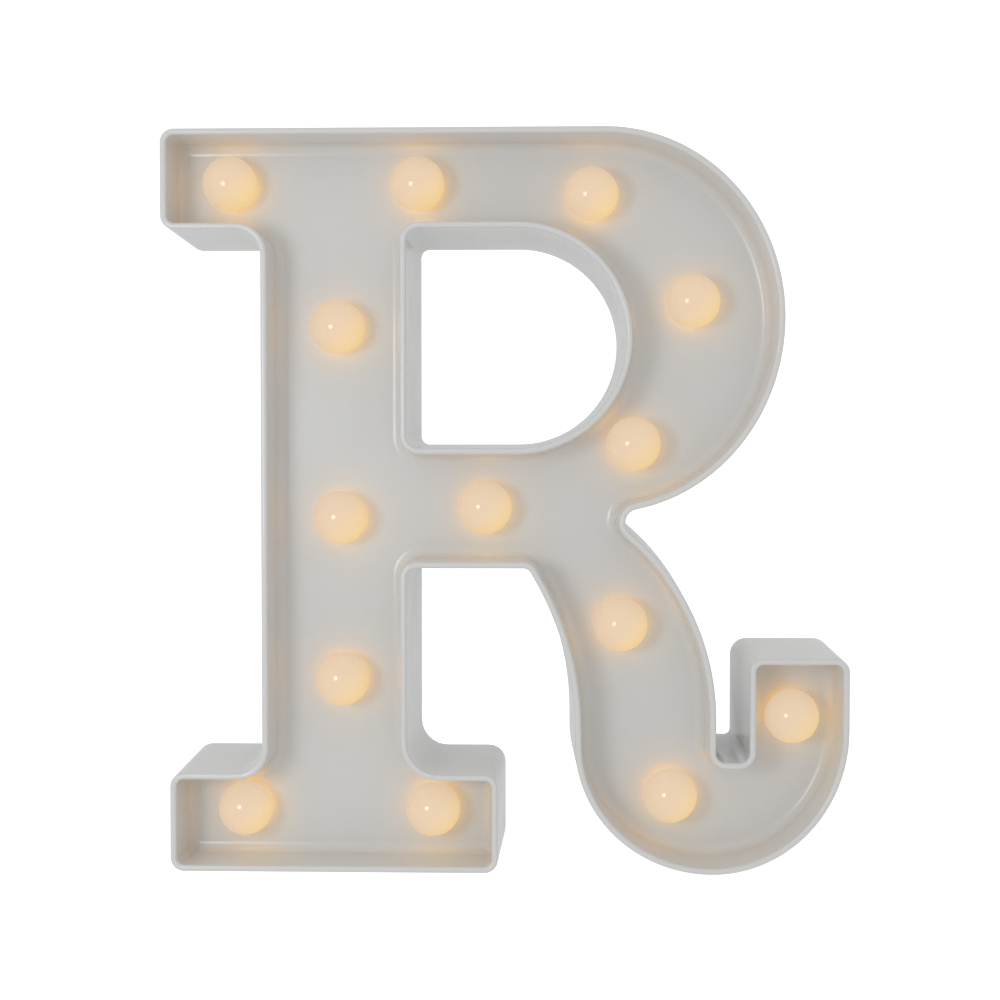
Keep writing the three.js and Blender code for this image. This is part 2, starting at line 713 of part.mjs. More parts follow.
// The back cover: a plate of the letter's form with the box, the pocket, keyholes and screw holes
function screwHole(spot) {
  const headRadius = SCREW_HEAD_RADIUS + SCREW_SINK + GAP * Math.SQRT2;
  const neckRadius = SCREW_RADIUS + GAP * Math.SQRT2;
  const profile = [
    new THREE.Vector2(0, coverIn - OVERRUN),
    new THREE.Vector2(neckRadius, coverIn - OVERRUN),
    new THREE.Vector2(neckRadius, back - headRadius + neckRadius),
    new THREE.Vector2(headRadius, back),
    new THREE.Vector2(headRadius, back + OVERRUN),
    new THREE.Vector2(0, back + OVERRUN),
  ];
  const lathe = new THREE.LatheGeometry(profile, BOSS_SIDES);
  lathe.translate(spot.x, 0, spot.y);
  return solid(lathe);
}

function keyhole(spot) {
  const levels = [coverIn - OVERRUN, back + OVERRUN];
  const rise = spot.y + KEY_SLOT_RISE;
  return join([
    rodAlongY(spot.x, spot.y, KEY_HEAD_RADIUS, levels, CELL_SIDES),
    rodAlongY(spot.x, rise, KEY_SLOT_RADIUS, levels, CELL_SIDES),
    block([spot.x - KEY_SLOT_RADIUS, spot.x + KEY_SLOT_RADIUS], levels, [spot.y, rise]),
  ]);
}

function backCover() {
  const offset = flareAt(coverIn) - BACK_WALL - COVER_FIT;
  const plate = letterSolid([[coverIn, offset], [back, offset]]);
  const raised = join([plate, batteryBox(), switchPocket()]);
  return cut(raised, [
    ...batteryBoxCuts(),
    ...switchPocketCuts(),
    ...screws.map(screwHole),
    ...keys.map(keyhole),
  ]);
}

function screwSolid(spot) {
  const headTop = back - SCREW_SINK;
  const profile = [
    new THREE.Vector2(0, screwTip),
    new THREE.Vector2(SCREW_RADIUS / 2, screwTip),
    new THREE.Vector2(SCREW_RADIUS, screwTip + SCREW_RADIUS),
    new THREE.Vector2(SCREW_RADIUS, headTop - SCREW_HEAD_RADIUS + SCREW_RADIUS),
    new THREE.Vector2(SCREW_HEAD_RADIUS, headTop),
    new THREE.Vector2(0, headTop),
  ];
  const lathe = new THREE.LatheGeometry(profile, BOSS_SIDES);
  lathe.translate(spot.x, 0, spot.y);
  return solid(lathe);
}

// The door: a plate with a round hinge edge, two stub pins and a springy U latch
function latchShape() {
  const middle = latchFirst + LATCH_BEND;
  const bendY = back - LATCH_DEPTH;
  const shape = new THREE.Shape();
  shape.moveTo(back, latchFirst);
  shape.lineTo(bendY, latchFirst);
  shape.absarc(bendY, middle, LATCH_BEND, -Math.PI / 2, Math.PI / 2, true);
  shape.lineTo(back - SCREW_SINK, latchLast);
  shape.lineTo(back - SCREW_SINK, latchLast - LATCH_STRIP);
  shape.lineTo(bendY, latchLast - LATCH_STRIP);
  shape.absarc(bendY, middle, LATCH_BEND - LATCH_STRIP, Math.PI / 2, -Math.PI / 2, false);
  shape.lineTo(back, latchFirst + LATCH_STRIP);
  return shape;
}

function alongX(shape, x) {
  const options = { depth: x[1] - x[0], bevelEnabled: false, curveSegments: BEND_STEPS };
  const bar = new THREE.ExtrudeGeometry(shape, options);
  const turn = new THREE.Matrix4().set(0, 0, 1, x[0], 1, 0, 0, 0, 0, 1, 0, 0, 0, 0, 0, 1);
  return solid(bar.applyMatrix4(turn));
}

function batteryDoor() {
  const plate = block(aroundStem(doorHalf), [doorIn, back], [hingeZ, doorTop]);
  const barrel = rodAlongX(hingeY, hingeZ, BARREL_RADIUS, aroundStem(doorHalf), BARREL_SIDES);
  const pins = rodAlongX(hingeY, hingeZ, PIN_RADIUS, aroundStem(doorHalf + PIN_LENGTH), BARREL_SIDES);
  const tongue = block(aroundStem(LATCH_HALF), [doorIn, back], [doorTop - OVERRUN, latchFirst + LATCH_STRIP]);
  const latch = alongX(latchShape(), aroundStem(LATCH_HALF));
  return join([plate, barrel, pins, tongue, latch]);
}

// Cells, contact plates and coil springs
const lowSeat = BOX_BOTTOM + plateRoom;
const highSeat = boxTop - plateRoom;

function cellGeometry(x, nubUp) {
  const half = (CELL_LENGTH + CELL_NUB_HEIGHT) / 2;
  const shoulder = half - CELL_NUB_HEIGHT;
  const profile = [
    new THREE.Vector2(0, -half),
    new THREE.Vector2(CELL_RADIUS - CELL_EDGE, -half),
    new THREE.Vector2(CELL_RADIUS, CELL_EDGE - half),
    new THREE.Vector2(CELL_RADIUS, shoulder - CELL_EDGE),
    new THREE.Vector2(CELL_RADIUS - CELL_EDGE, shoulder),
    new THREE.Vector2(CELL_NUB_RADIUS, shoulder),
    new THREE.Vector2(CELL_NUB_RADIUS, half - CELL_NUB_ROUND),
    new THREE.Vector2(CELL_NUB_RADIUS - CELL_NUB_ROUND, half),
    new THREE.Vector2(0, half),
  ];
  const cell = new THREE.LatheGeometry(profile, CELL_SIDES);
  cell.rotateX(nubUp ? Math.PI / 2 : -Math.PI / 2);
  const middle = nubUp ? highSeat - half : lowSeat + half;
  cell.translate(x, cellY, middle);
  return geometryOf(solid(cell));
}

// A conical coil from its wide end to its narrow end, with a short straight end square to each seat
function springPath(from, to) {
  const steps = SPRING_TURNS * CURL_STEPS;
  const stub = Math.sign(to - from) * SPRING_WIRE;
  const curls = Array.from({ length: steps + 1 }, (_, k) => {
    const share = k / steps;
    const angle = 2 * Math.PI * SPRING_TURNS * share;
    const radius = between(SPRING_WIDE, SPRING_NARROW, share) - SPRING_WIRE / 2;
    const level = between(from + stub, to - stub, share);
    return new THREE.Vector3(radius * Math.cos(angle), radius * Math.sin(angle), level);
  });
  const first = curls[0].clone().setZ(from);
  const last = curls[steps].clone().setZ(to);
  return [first, ...curls, last];
}

function tubeAround(path, radius) {
  const positions = [];
  const index = [];
  path.forEach((spot, k) => {
    const way = path[Math.min(k + 1, path.length - 1)].clone().sub(path[Math.max(k - 1, 0)]).normalize();
    const side = new THREE.Vector3(spot.x, spot.y, 0).cross(way).normalize();
    const outward = way.clone().cross(side);
    for (let s = 0; s < CURL_SIDES; s += 1) {
      const angle = 2 * Math.PI * s / CURL_SIDES;
      const at = spot.clone().addScaledVector(side, radius * Math.cos(angle));
      at.addScaledVector(outward, radius * Math.sin(angle));
      positions.push(at.x, at.y, at.z);
    }
  });
  for (let k = 0; k + 1 < path.length; k += 1) {
    for (let s = 0; s < CURL_SIDES; s += 1) {
      const a = k * CURL_SIDES + s;
      const b = k * CURL_SIDES + (s + 1) % CURL_SIDES;
      index.push(a, b + CURL_SIDES, b, a, a + CURL_SIDES, b + CURL_SIDES);
    }
  }
  const last = (path.length - 1) * CURL_SIDES;
  for (let s = 1; s + 1 < CURL_SIDES; s += 1) {
    index.push(0, s, s + 1, last, last + s + 1, last + s);
  }
  const geometry = new THREE.BufferGeometry();
  geometry.setAttribute("position", new THREE.BufferAttribute(new Float32Array(positions), 3));
  geometry.setIndex(index);
  return geometry;
}

// Least gap of the coil to itself, between points at least half a turn apart
function leastGap(path) {
  let least = Infinity;
  for (let i = 0; i < path.length; i += 1) {
    for (let j = i + CURL_STEPS / 2; j < path.length; j += 1) {
      least = Math.min(least, path[i].distanceTo(path[j]));
    }
  }
  return least - SPRING_WIRE;
}

function springGeometry(x, seatUp) {
  const seat = seatUp ? highSeat : lowSeat;
  const way = seatUp ? -1 : 1;
  const path = springPath(seat, seat + way * SPRING_LENGTH);
  console.log(`least gap of the coil to itself: ${leastGap(path).toFixed(2)} mm`);
  const coil = tubeAround(path, SPRING_WIRE / 2);
  coil.translate(x, cellY, 0);
  return geometryOf(solid(coil));
}

const plateLevels = [boxFloorTop + GAP + PLATE, cellY + CELL_RADIUS - PLATE_MARGIN / 2];

function linkPlate() {
  const half = CELL_SPACING / 2 + CELL_RADIUS - PLATE_MARGIN;
  return block(aroundStem(half), plateLevels, [BOX_BOTTOM + GAP, BOX_BOTTOM + GAP + PLATE]);
}

function endPlate(x) {
  const half = CELL_RADIUS - PLATE_MARGIN / 2;
  const plateLow = boxTop - GAP - PLATE;
  const plate = block([x - half, x + half], plateLevels, [plateLow, plateLow + PLATE]);
  const tabTop = boxTop + BOX_WALL + TAB_REACH;
  const tab = block([x - TAB_WIDTH / 2, x + TAB_WIDTH / 2], [tabY, tabY + PLATE], [plateLow, tabTop]);
  return join([plate, tab]);
}

function switchBody() {
  const body = block(
    aroundSwitch(SWITCH_LENGTH / 2),
    [switchFront, switchBack],
    besideSwitch(SWITCH_WIDTH / 2),
  );
  const lugs = [-1, 1].map((side) => {
    const x = switchAt.x + side * SWITCH_LUG_SPACING / 2;
    const half = SWITCH_LUG_WIDTH / 2;
    return block(
      [x - half, x + half],
      [switchFront - SWITCH_LUG_LENGTH, switchFront + OVERRUN],
      besideSwitch(PLATE / 2),
    );
  });
  return cut(join([body, ...lugs]), [knobSlot([switchBack - KNOB_SOCKET, switchBack + OVERRUN])]);
}

function switchKnob() {
  return block(
    [knobX - KNOB_LENGTH / 2, knobX + KNOB_LENGTH / 2],
    [switchBack - KNOB_SOCKET + GAP, back - KNOB_SINK],
    besideSwitch(KNOB_WIDTH / 2),
  );
}

const tailY = switchFront - SWITCH_LUG_LENGTH - GAP - TAIL_RADIUS;
const tailZ = boxTop + BOX_WALL + TAB_REACH + GAP + TAIL_RADIUS;
const sidePass = stemRight - BACK_WALL - TAIL_RADIUS - GAP;

function redTail() {
  const end = stemMid - RIBBON_WIDTH / 2 - GAP;
  const high = tailZ + TAIL_RUN;
  return wireSolid([
    new THREE.Vector3(cellX[0], tailY, tailZ),
    new THREE.Vector3(cellX[0], tailY, high),
    new THREE.Vector3(cellX[0], ribbonMid, high),
    new THREE.Vector3(end, ribbonMid, high),
  ]);
}

function blackTail() {
  return wireSolid([
    new THREE.Vector3(cellX[1], tailY, tailZ),
    new THREE.Vector3(sidePass, tailY, tailZ),
    new THREE.Vector3(sidePass, tailY, switchAt.y),
    new THREE.Vector3(switchAt.x - SWITCH_LUG_SPACING / 2, tailY, switchAt.y),
  ]);
}

function switchTail() {
  const start = switchAt.x + SWITCH_LUG_SPACING / 2;
  const x = start + TAIL_RUN;
  const [low, high] = [bulbs[7], bulbs[5]];
  const slope = (high.y - low.y) / (high.x - low.x);
  const ribbonZ = low.y + slope * (x - low.x);
  const edge = (RIBBON_WIDTH / 2) * Math.hypot(1, slope);
  const end = ribbonZ - edge - GAP - TAIL_RADIUS * slope;
  const turnZ = (switchAt.y + end) / 2;
  return wireSolid([
    new THREE.Vector3(start, tailY, switchAt.y),
    new THREE.Vector3(x, tailY, turnZ),
    new THREE.Vector3(x, ribbonMid, turnZ),
    new THREE.Vector3(x, ribbonMid, end),
  ]);
}

// Materials
const material = (color, roughness, metalness = 0, extra = {}) => {
  return new THREE.MeshStandardMaterial({ color, roughness, metalness, ...extra });
};
const whitePlastic = material(0xe9e8e6, 0.35);
const frosted = material(0xfbe3c0, 0.5, 0, { emissive: 0xffd9a0, emissiveIntensity: 0.8 });
const lampEpoxy = material(0xfff0c8, 0.2, 0, { emissive: 0xffe2a8, emissiveIntensity: 1 });
const redWire = material(0xa81d1a, 0.5);
const blackWire = material(0x1b1b1c, 0.5);
const cellSkin = material(0x2d6b4a, 0.4);
const nickel = material(0xc2c2bd, 0.3, 1);
const zinc = material(0xb5b5b2, 0.35, 1);
const blackPlastic = material(0x202022, 0.5);

const letter = new THREE.Group();

function add(name, geometry, look) {
  const mesh = new THREE.Mesh(geometry, look);
  mesh.name = name;
  letter.add(mesh);
  return mesh;
}

const numbered = (name, k) => `${name}_${String(k + 1).padStart(2, "0")}`;

add("front_shell", geometryOf(frontTray()), whitePlastic);
add("back_cover", geometryOf(backCover()), whitePlastic);
add("battery_door", geometryOf(batteryDoor()), whitePlastic);

const bulbShape = geometryOf(solid(bulbGeometry()));
const lampShape = geometryOf(lampSolid());
bulbs.forEach((spot, k) => add(numbered("bulb_cap", k), bulbShape, frosted).position.set(spot.x, 0, spot.y));
bulbs.forEach((spot, k) => add(numbered("lamp", k), lampShape, lampEpoxy).position.set(spot.x, 0, spot.y));

add("lamp_ribbon", geometryOf(ribbonSolid()), redWire);
add("red_tail", geometryOf(redTail()), redWire);
add("black_tail", geometryOf(blackTail()), blackWire);
add("switch_tail", geometryOf(switchTail()), blackWire);

add("battery_01", cellGeometry(cellX[0], true), cellSkin);
add("battery_02", cellGeometry(cellX[1], false), cellSkin);
add("spring_01", springGeometry(cellX[0], false), nickel);
add("spring_02", springGeometry(cellX[1], true), nickel);
add("link_plate", geometryOf(linkPlate()), nickel);
add("positive_plate", geometryOf(endPlate(cellX[0])), nickel);
add("negative_plate", geometryOf(endPlate(cellX[1])), nickel);

add("switch_body", geometryOf(switchBody()), nickel);
add("switch_knob", geometryOf(switchKnob()), blackPlastic);
screws.forEach((spot, k) => add(numbered("screw", k), geometryOf(screwSolid(spot)), zinc));

export default letter;
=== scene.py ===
"""A lit marquee letter R: its surfaces, finishes, light and camera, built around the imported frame."""

import math

import bmesh
import bpy
from mathutils import Matrix, Vector
from mathutils.geometry import delaunay_2d_cdt


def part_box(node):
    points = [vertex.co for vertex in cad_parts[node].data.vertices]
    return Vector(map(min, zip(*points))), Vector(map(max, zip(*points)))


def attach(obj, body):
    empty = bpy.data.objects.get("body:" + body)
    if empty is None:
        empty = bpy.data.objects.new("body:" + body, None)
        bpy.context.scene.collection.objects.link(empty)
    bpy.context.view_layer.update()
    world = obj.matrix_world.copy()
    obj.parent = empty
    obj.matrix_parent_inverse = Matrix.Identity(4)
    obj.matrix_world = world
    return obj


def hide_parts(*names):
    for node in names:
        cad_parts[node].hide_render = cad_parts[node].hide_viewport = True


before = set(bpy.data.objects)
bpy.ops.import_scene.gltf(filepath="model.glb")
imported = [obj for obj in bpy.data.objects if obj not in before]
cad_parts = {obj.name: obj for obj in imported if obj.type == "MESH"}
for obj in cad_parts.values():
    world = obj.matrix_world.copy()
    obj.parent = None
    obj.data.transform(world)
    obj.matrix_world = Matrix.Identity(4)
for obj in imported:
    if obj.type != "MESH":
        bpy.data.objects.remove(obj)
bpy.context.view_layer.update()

# One millimetre in the scene's metres: shapes are worked out in millimetres and placed in metres
MM = 0.001

# The letter as seen from the front
FLARE = 1.2
STEM_WIDTH = 42.8
SERIF_OUT = 29.4
SERIF_HEIGHT = 29.3
FOOT_OUT_LEFT = 27.4
FOOT_OUT_RIGHT = 26.85
FOOT_HEIGHT = 29.1
TOP_BAR = 29.25
COUNTER_HEIGHT = 64.2
COUNTER_FLAT = 32.3
ARM_HEIGHT = 35.3
BOWL_FLAT = 57.9
BOWL_STROKE = 46.1
BOWL_LIFT = 5.85
NOTCH_RISE = 16.45
LOWER_GAP = 49.6
LEG_WIDTH = 41.3
LEG_RUN = 3.9
LEG_LEFT_LEAN = 13.9
LEG_BACK_RUN = 12.6
LEG_RIGHT_LEAN = 34
SLOT_WIDTH = 9.8
SLOT_FLOOR = 33
HOOK_WIDTH = 29.05
HOOK_HEIGHT = 63.75
HOOK_LEFT_RISE = 38.1
HOOK_RIGHT_RISE = 42.55
CORNER = 4
COUNTER_CORNER = 3.8
SERIF_FILLET = 7.5
FOOT_FILLET = 9.5
ARM_FILLET = 3
LEG_FILLET = 2.5
SLOT_FILLET = 3
NOTCH_FILLET = 4
NOTCH_ROOM = 9.9
LEG_ROOM = 11.5
LEAST_BEND = 0.6

# Where the left and the right side of the leg end, as shares of a quarter turn
LEG_LEFT_TURN = 0.3585
LEG_RIGHT_TURN = 0.68

# The tray's walls and the rounds of their edges
RIM = 1.8
RIM_ROUND = 0.8
BACK_EDGE_ROUND = 0.3
RECESS_DEPTH = 17
RECESS_DRAFT = 0.6
COVE = 3
FACE = 2
BACK_WALL = 2
COVER = 2
GAP = 0.3
OVERRUN = 1.5
BOSS_RADIUS = 3
PILOT_RADIUS = 1.5
PILOT_SPARE = 1

# Balls and lamps
BALL_COUNT = 14
BALL_RADIUS = 8
BALL_SKIN = 0.8
NECK_RADIUS = 4
LAMP_RADIUS = 2.5
LAMP_FLANGE = 0.4
LAMP_FLANGE_HEIGHT = 1
LEAD_SIDE = 0.5
LEAD_SPACING = 2.54
LEAD_LENGTH = 1.2

# Wires: the ribbon's links join the lamps in this order, the last two by way of the hook's detour
CORE_RADIUS = 0.5
TAIL_RADIUS = 0.6
WIRE_BEND = 3
DETOUR_ACROSS = 0.27
DETOUR_UP = 0.67
RIBBON_LINKS = (
    (0, 1), (1, 2), (2, 4), (4, 5), (5, 7), (7, 6), (6, 3), (6, 8), (8, 10), (8, 11), (7, 9), (9, 12),
    (12, 14), (14, 13),
)

# Screws
SCREW_COUNT = 8
SCREW_HEAD_RADIUS = 2.5
SCREW_SHANK_RADIUS = 1.2
SCREW_SINK = 0.2
THREAD_DEPTH = 0.25
THREAD_PITCH = 1.1
RECESS_REACH = 1.4
RECESS_LENGTH = 2.7
RECESS_STROKE = 0.3
RECESS_TAPER = 0.2

# The back cover, its keyholes and its box for two cells
COVER_FIT = 0.4
KEY_HEAD_RADIUS = 4.2
KEY_SLOT_RADIUS = 2.1
KEY_SLOT_RISE = 7.5
KEY_SHARES = ((0.645, 0.37), (0.217, 0.66))
BOX_SIDE_CLEARANCE = 0.7
BOX_WALL = 2
BOX_FLOOR = 1.3
BOX_HINGE_WALL = 4.1
PLATE = 0.5
TAB_WIDTH = 3
TAB_DEPTH = 3.7
CELL_NUB_RADIUS = 2.75
CELL_NUB_HEIGHT = 1.3
CELL_LIP = 0.6
SLEEVE_SINK = 0.3
SPRING_WIRE = 0.7
SPRING_WIDE = 4.2
SPRING_NARROW = 2.4
SPRING_TURNS = 3
MARK_LENGTH = 4
MARK_STROKE = 0.9
MARK_HEIGHT = 0.2
MARK_INSET = 13

# The battery door
DOOR = 1.8
DOOR_LEDGE = 0.65
BARREL_RADIUS = 1.5
BARREL_INSET = 0.5
PIN_RADIUS = 0.7
PIN_LENGTH = 2
EAR_WALL = 1.25
EAR_REACH = 2.4
EAR_DEPTH = 1.6
LATCH_HALF = 3.7
LATCH_STRIP = 1
LATCH_BEND = 2
LATCH_DEPTH = 5.4
LATCH_ROOM = 0.6
LATCH_SINK = 0.2
WELL_WALL = 1.2
GROOVE_DEPTH = 0.4
GRIP_WIDTH = 16
GRIP_PITCH = 2
GRIP_COUNT = 4
GRIP_INSET = 8

# The slide switch in its dished pocket
SWITCH_LENGTH = 13
SWITCH_WIDTH = 6.4
SWITCH_LUG_SPACING = 5
KNOB_LENGTH = 4
KNOB_WIDTH = 2.4
KNOB_TRAVEL = 3
POCKET_LENGTH = 16
POCKET_WIDTH = 9
POCKET_DEPTH = 2.7
POCKET_FLOOR = 1.5
RAIL = 1.2
RAIL_DEPTH = 3
WORD_SIZE = 2.2
WORD_HEIGHT = 0.25

# The camera, in millimetres
SENSOR = 36
LENS = 59.616
CAMERA_AT = Vector((13.375, -506.37, 124.75))
CAMERA_WAY = Vector((-50, 1656, -50))

# The stage, the key light and how near and far the camera sees, in metres
STAGE_HALF = 6
STAGE_BACK = 2
STAGE_TOP = 5
KEY_AT = Vector((-0.24, -0.5, 0.14))
KEY_TARGET = Vector((0, 0, 0.11))
KEY_SIZE = 0.16
CLIP_START = 0.01
CLIP_END = 100

# How strong the lights are, and their colours
KEY_POWER = 0.5
KEY_COLOUR = (0.9, 0.95, 1.0)
PAPER_GLOW = 0.85
WORLD_STRENGTH = 0.71
LAMP_STRENGTH = 2.0
LAMP_COLOUR = (1.0, 0.78, 0.45)

# The balls: plastic and glow, yellower low on the right as painted shade, growing back towards the neck
BALL_COLOURS = ((0.22, 0.18, 0.15), (0.26, 0.22, 0.18))
BALL_ROUGHNESS = (0.08, 0.12)
GLOW_PEACH = (1.0, 0.75, 0.51)
GLOW_SHADED_YELLOW = (1.0, 0.71, 0.31)
GLOW_NECK = (1.0, 0.55, 0.14)
GLOW_STRENGTHS = (0.64, 0.76)
SHADED_SIDE_WAY = (90, 20, -75)
SHADED_SIDE_SPAN = (-0.15, 0.85)
NECK_STRENGTHS = (1, 2.5)
NECK_SPAN = (0.0012, 0.005)

# A cell's bands from its flat end up, each with the share of its length where it starts
CELL_BANDS = (
    (0.0, (0.55, 0.55, 0.53)), (0.012, (0.03, 0.09, 0.06)), (0.76, (0.62, 0.64, 0.60)),
    (0.79, (0.03, 0.09, 0.06)), (0.965, (0.6, 0.6, 0.58)),
)

# Between which values most of a noise pattern lies
NOISE_SPAN = (0.3, 0.7)

# Sockets of a colour mix and of a random number that share their names, and so go by number
MIX_FACTOR = 0
MIX_FIRST = 6
MIX_SECOND = 7
MIX_RESULT = 2
RANDOM_MOST = 3
RANDOM_NUMBER = 1

# The triangulation's choice that leaves out what lies outside the outer loop
INSIDE_ONLY = 1

# How finely rounds are cut, and the least sizes
BEND_STEPS = 8
BOWL_STEPS = 30
HOOK_STEPS = 24
LEG_STEPS = 12
COUNTER_STEPS = 40
ROUND_STEPS = 5
HOLE_SIDES = 40
BALL_SIDES = 48
BALL_RINGS = 24
LAMP_RINGS = 8
CORNER_STEPS = 6
ROD_SIDES = 32
CELL_SIDES = 64
SCREW_SIDES = 24
THREAD_STEPS = 8
SPRING_STEPS = 48
WIRE_SIDES = 14
WIRE_BEND_STEPS = 8
WORD_STEPS = 3
LATCH_STEPS = 12
SHARP_DEGREES = 35
WIRE_SHARP_DEGREES = 60
SMALL_ROUND = 0.3
LEAST_ROUND = 0.05
LONG_RUN = 1.2
SUPPORT = 0.25
NEAR = 1e-6


def box_mm(node):
    """The lowest and highest corner of a CAD node, in millimetres."""
    low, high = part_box(node)
    return low / MM, high / MM


tray_low, tray_high = box_mm("front_shell")
front = tray_low.y
back = tray_high.y
depth = back - front
top = tray_high.z - FLARE
serif_left = tray_low.x + FLARE
stem_left = serif_left + SERIF_OUT
stem_right = stem_left + STEM_WIDTH
stem_mid = stem_left + STEM_WIDTH / 2
serif_under = top - SERIF_HEIGHT
foot_left = stem_left - FOOT_OUT_LEFT
foot_right = stem_right + FOOT_OUT_RIGHT
counter_top = top - TOP_BAR
counter_floor = counter_top - COUNTER_HEIGHT
counter_x = stem_right + COUNTER_FLAT
arm_under = counter_floor - ARM_HEIGHT
bowl_x = stem_right + BOWL_FLAT
bowl_z = counter_floor + COUNTER_HEIGHT / 2 + BOWL_LIFT
bowl_right = counter_x + COUNTER_HEIGHT / 2 + BOWL_STROKE
leg_left = stem_right + LOWER_GAP
leg_right = leg_left + LEG_WIDTH
hook_left = leg_right + SLOT_WIDTH
hook_right = hook_left + HOOK_WIDTH
hook_mid = (leg_left + hook_right) / 2
notch_z = arm_under + NOTCH_RISE
leg_bend = HOOK_LEFT_RISE + LEG_RUN
leg_back_bend = SLOT_FLOOR + LEG_BACK_RUN
face_front = front + RECESS_DEPTH
face_back = face_front + FACE
cover_in = back - COVER
RIGHT = Vector((1, 0))
LEFT = Vector((-1, 0))
UP = Vector((0, 1))
DOWN = Vector((0, -1))
QUARTER = math.pi / 2


def flare_at(y):
    """How far the outer wall has widened at a depth."""
    return FLARE * (y - front) / depth


def cross(a, b):
    return a.x * b.y - a.y * b.x


def outward(way):
    """The side away from the material, which lies on the left of the way."""
    return Vector((way.y, -way.x))


def turn_between(a, b):
    return math.atan2(cross(a, b), a.dot(b))


def turned(vector, angle):
    return Matrix.Rotation(angle, 2) @ vector


def bend(corner, way_in, way_out, radius):
    """A rounded corner of an outline, as a function of the outline's offset."""
    corner = Vector(corner)
    first = outward(way_in)
    turn = turn_between(way_in, way_out)
    side = math.copysign(1, turn)
    last = outward(way_out)
    mitre = (first + last) / (1 + first.dot(last))

    def points(offset):
        size = max(radius + side * offset, LEAST_BEND)
        centre = corner + mitre * (offset - side * size)
        steps = range(BEND_STEPS + 1)
        return [centre + turned(first, turn * k / BEND_STEPS) * (side * size) for k in steps]

    return points


def arc(centre, across, rise, start, end, steps, skip_first=False):
    """Samples of an ellipse from one angle to another, each with its place, way and offset function."""
    sense = math.copysign(1, end - start)
    samples = []
    for k in range(1 if skip_first else 0, steps + 1):
        angle = start + (end - start) * k / steps
        at = Vector((centre.x + across * math.cos(angle), centre.y + rise * math.sin(angle)))
        way = Vector((-across * math.sin(angle), rise * math.cos(angle))).normalized() * sense
        normal = outward(way)
        samples.append((at, way, lambda offset, at=at, normal=normal: [at + normal * offset]))
    return samples


def items(samples):
    return [sample[2] for sample in samples]


def crossing(a, way_a, b, way_b):
    return a + way_a * (cross(b - a, way_b) / cross(way_a, way_b))


def leg_arc(x, lean, low, high, turn_share, room, rising):
    """One side of the leg: upright at its bend, it leans over as it rises to near its end."""
    turn = QUARTER * turn_share
    across = lean / (1 - math.cos(turn))
    rise = (high - low) / math.sin(turn)
    start, end = (0, turn - room / rise) if rising else (turn - room / rise, 0)
    return arc(Vector((x - across, low)), across, rise, start, end, LEG_STEPS)


def hook_arc():
    half = hook_right - hook_mid
    left = arc(Vector((hook_mid, HOOK_LEFT_RISE)), half, HOOK_LEFT_RISE, -math.pi, -QUARTER, HOOK_STEPS)
    right = arc(Vector((hook_mid, HOOK_RIGHT_RISE)), half, HOOK_RIGHT_RISE, -QUARTER, 0, HOOK_STEPS, True)
    return left + right


def bowl_arc():
    centre = Vector((bowl_x, bowl_z))
    across = bowl_right - bowl_x
    low = arc(centre, across, bowl_z - notch_z, NOTCH_ROOM / across - QUARTER, 0, BOWL_STEPS)
    return low + arc(centre, across, top - bowl_z, 0, QUARTER, BOWL_STEPS, True)


def letter_edge():
    """The outer outline, from the foot's lower left corner round to its upper left one."""
    leg_low = leg_arc(leg_left, LEG_LEFT_LEAN, leg_bend, arm_under, LEG_LEFT_TURN, LEG_FILLET, False)
    leg_high = leg_arc(leg_right, LEG_RIGHT_LEAN, leg_back_bend, notch_z, LEG_RIGHT_TURN, LEG_ROOM, True)
    bowl = bowl_arc()
    leg_corner = crossing(Vector((stem_right, arm_under)), RIGHT, *leg_low[0][:2])
    notch = crossing(*leg_high[-1][:2], *bowl[0][:2])
    return [
        bend((foot_left, 0), DOWN, RIGHT, CORNER),
        bend((foot_right, 0), RIGHT, UP, CORNER),
        bend((foot_right, FOOT_HEIGHT), UP, LEFT, CORNER),
        bend((stem_right, FOOT_HEIGHT), LEFT, UP, FOOT_FILLET),
        bend((stem_right, arm_under), UP, RIGHT, ARM_FILLET),
        bend(leg_corner, RIGHT, leg_low[0][1], LEG_FILLET),
        *items(leg_low),
        *items(hook_arc()),
        bend((hook_right, HOOK_HEIGHT), UP, LEFT, CORNER),
        bend((hook_left, HOOK_HEIGHT), LEFT, DOWN, CORNER),
        bend((hook_left, SLOT_FLOOR), DOWN, LEFT, SLOT_FILLET),
        bend((leg_right, SLOT_FLOOR), LEFT, UP, SLOT_FILLET),
        *items(leg_high),
        bend(notch, leg_high[-1][1], bowl[0][1], NOTCH_FILLET),
        *items(bowl),
        bend((serif_left, top), LEFT, DOWN, CORNER),
        bend((serif_left, serif_under), DOWN, RIGHT, CORNER),
        bend((stem_left, serif_under), RIGHT, DOWN, SERIF_FILLET),
        bend((stem_left, FOOT_HEIGHT), DOWN, LEFT, SERIF_FILLET),
        bend((foot_left, FOOT_HEIGHT), LEFT, DOWN, CORNER),
    ]


def counter_edge():
    """The outline of the hole in the bowl."""
    radius = COUNTER_HEIGHT / 2
    centre = Vector((counter_x, counter_floor + radius))
    return [
        bend((stem_right, counter_top), UP, RIGHT, COUNTER_CORNER),
        *items(arc(centre, radius, radius, QUARTER, -QUARTER, COUNTER_STEPS)),
        bend((stem_right, counter_floor), LEFT, UP, COUNTER_CORNER),
    ]


edges = [letter_edge(), counter_edge()]


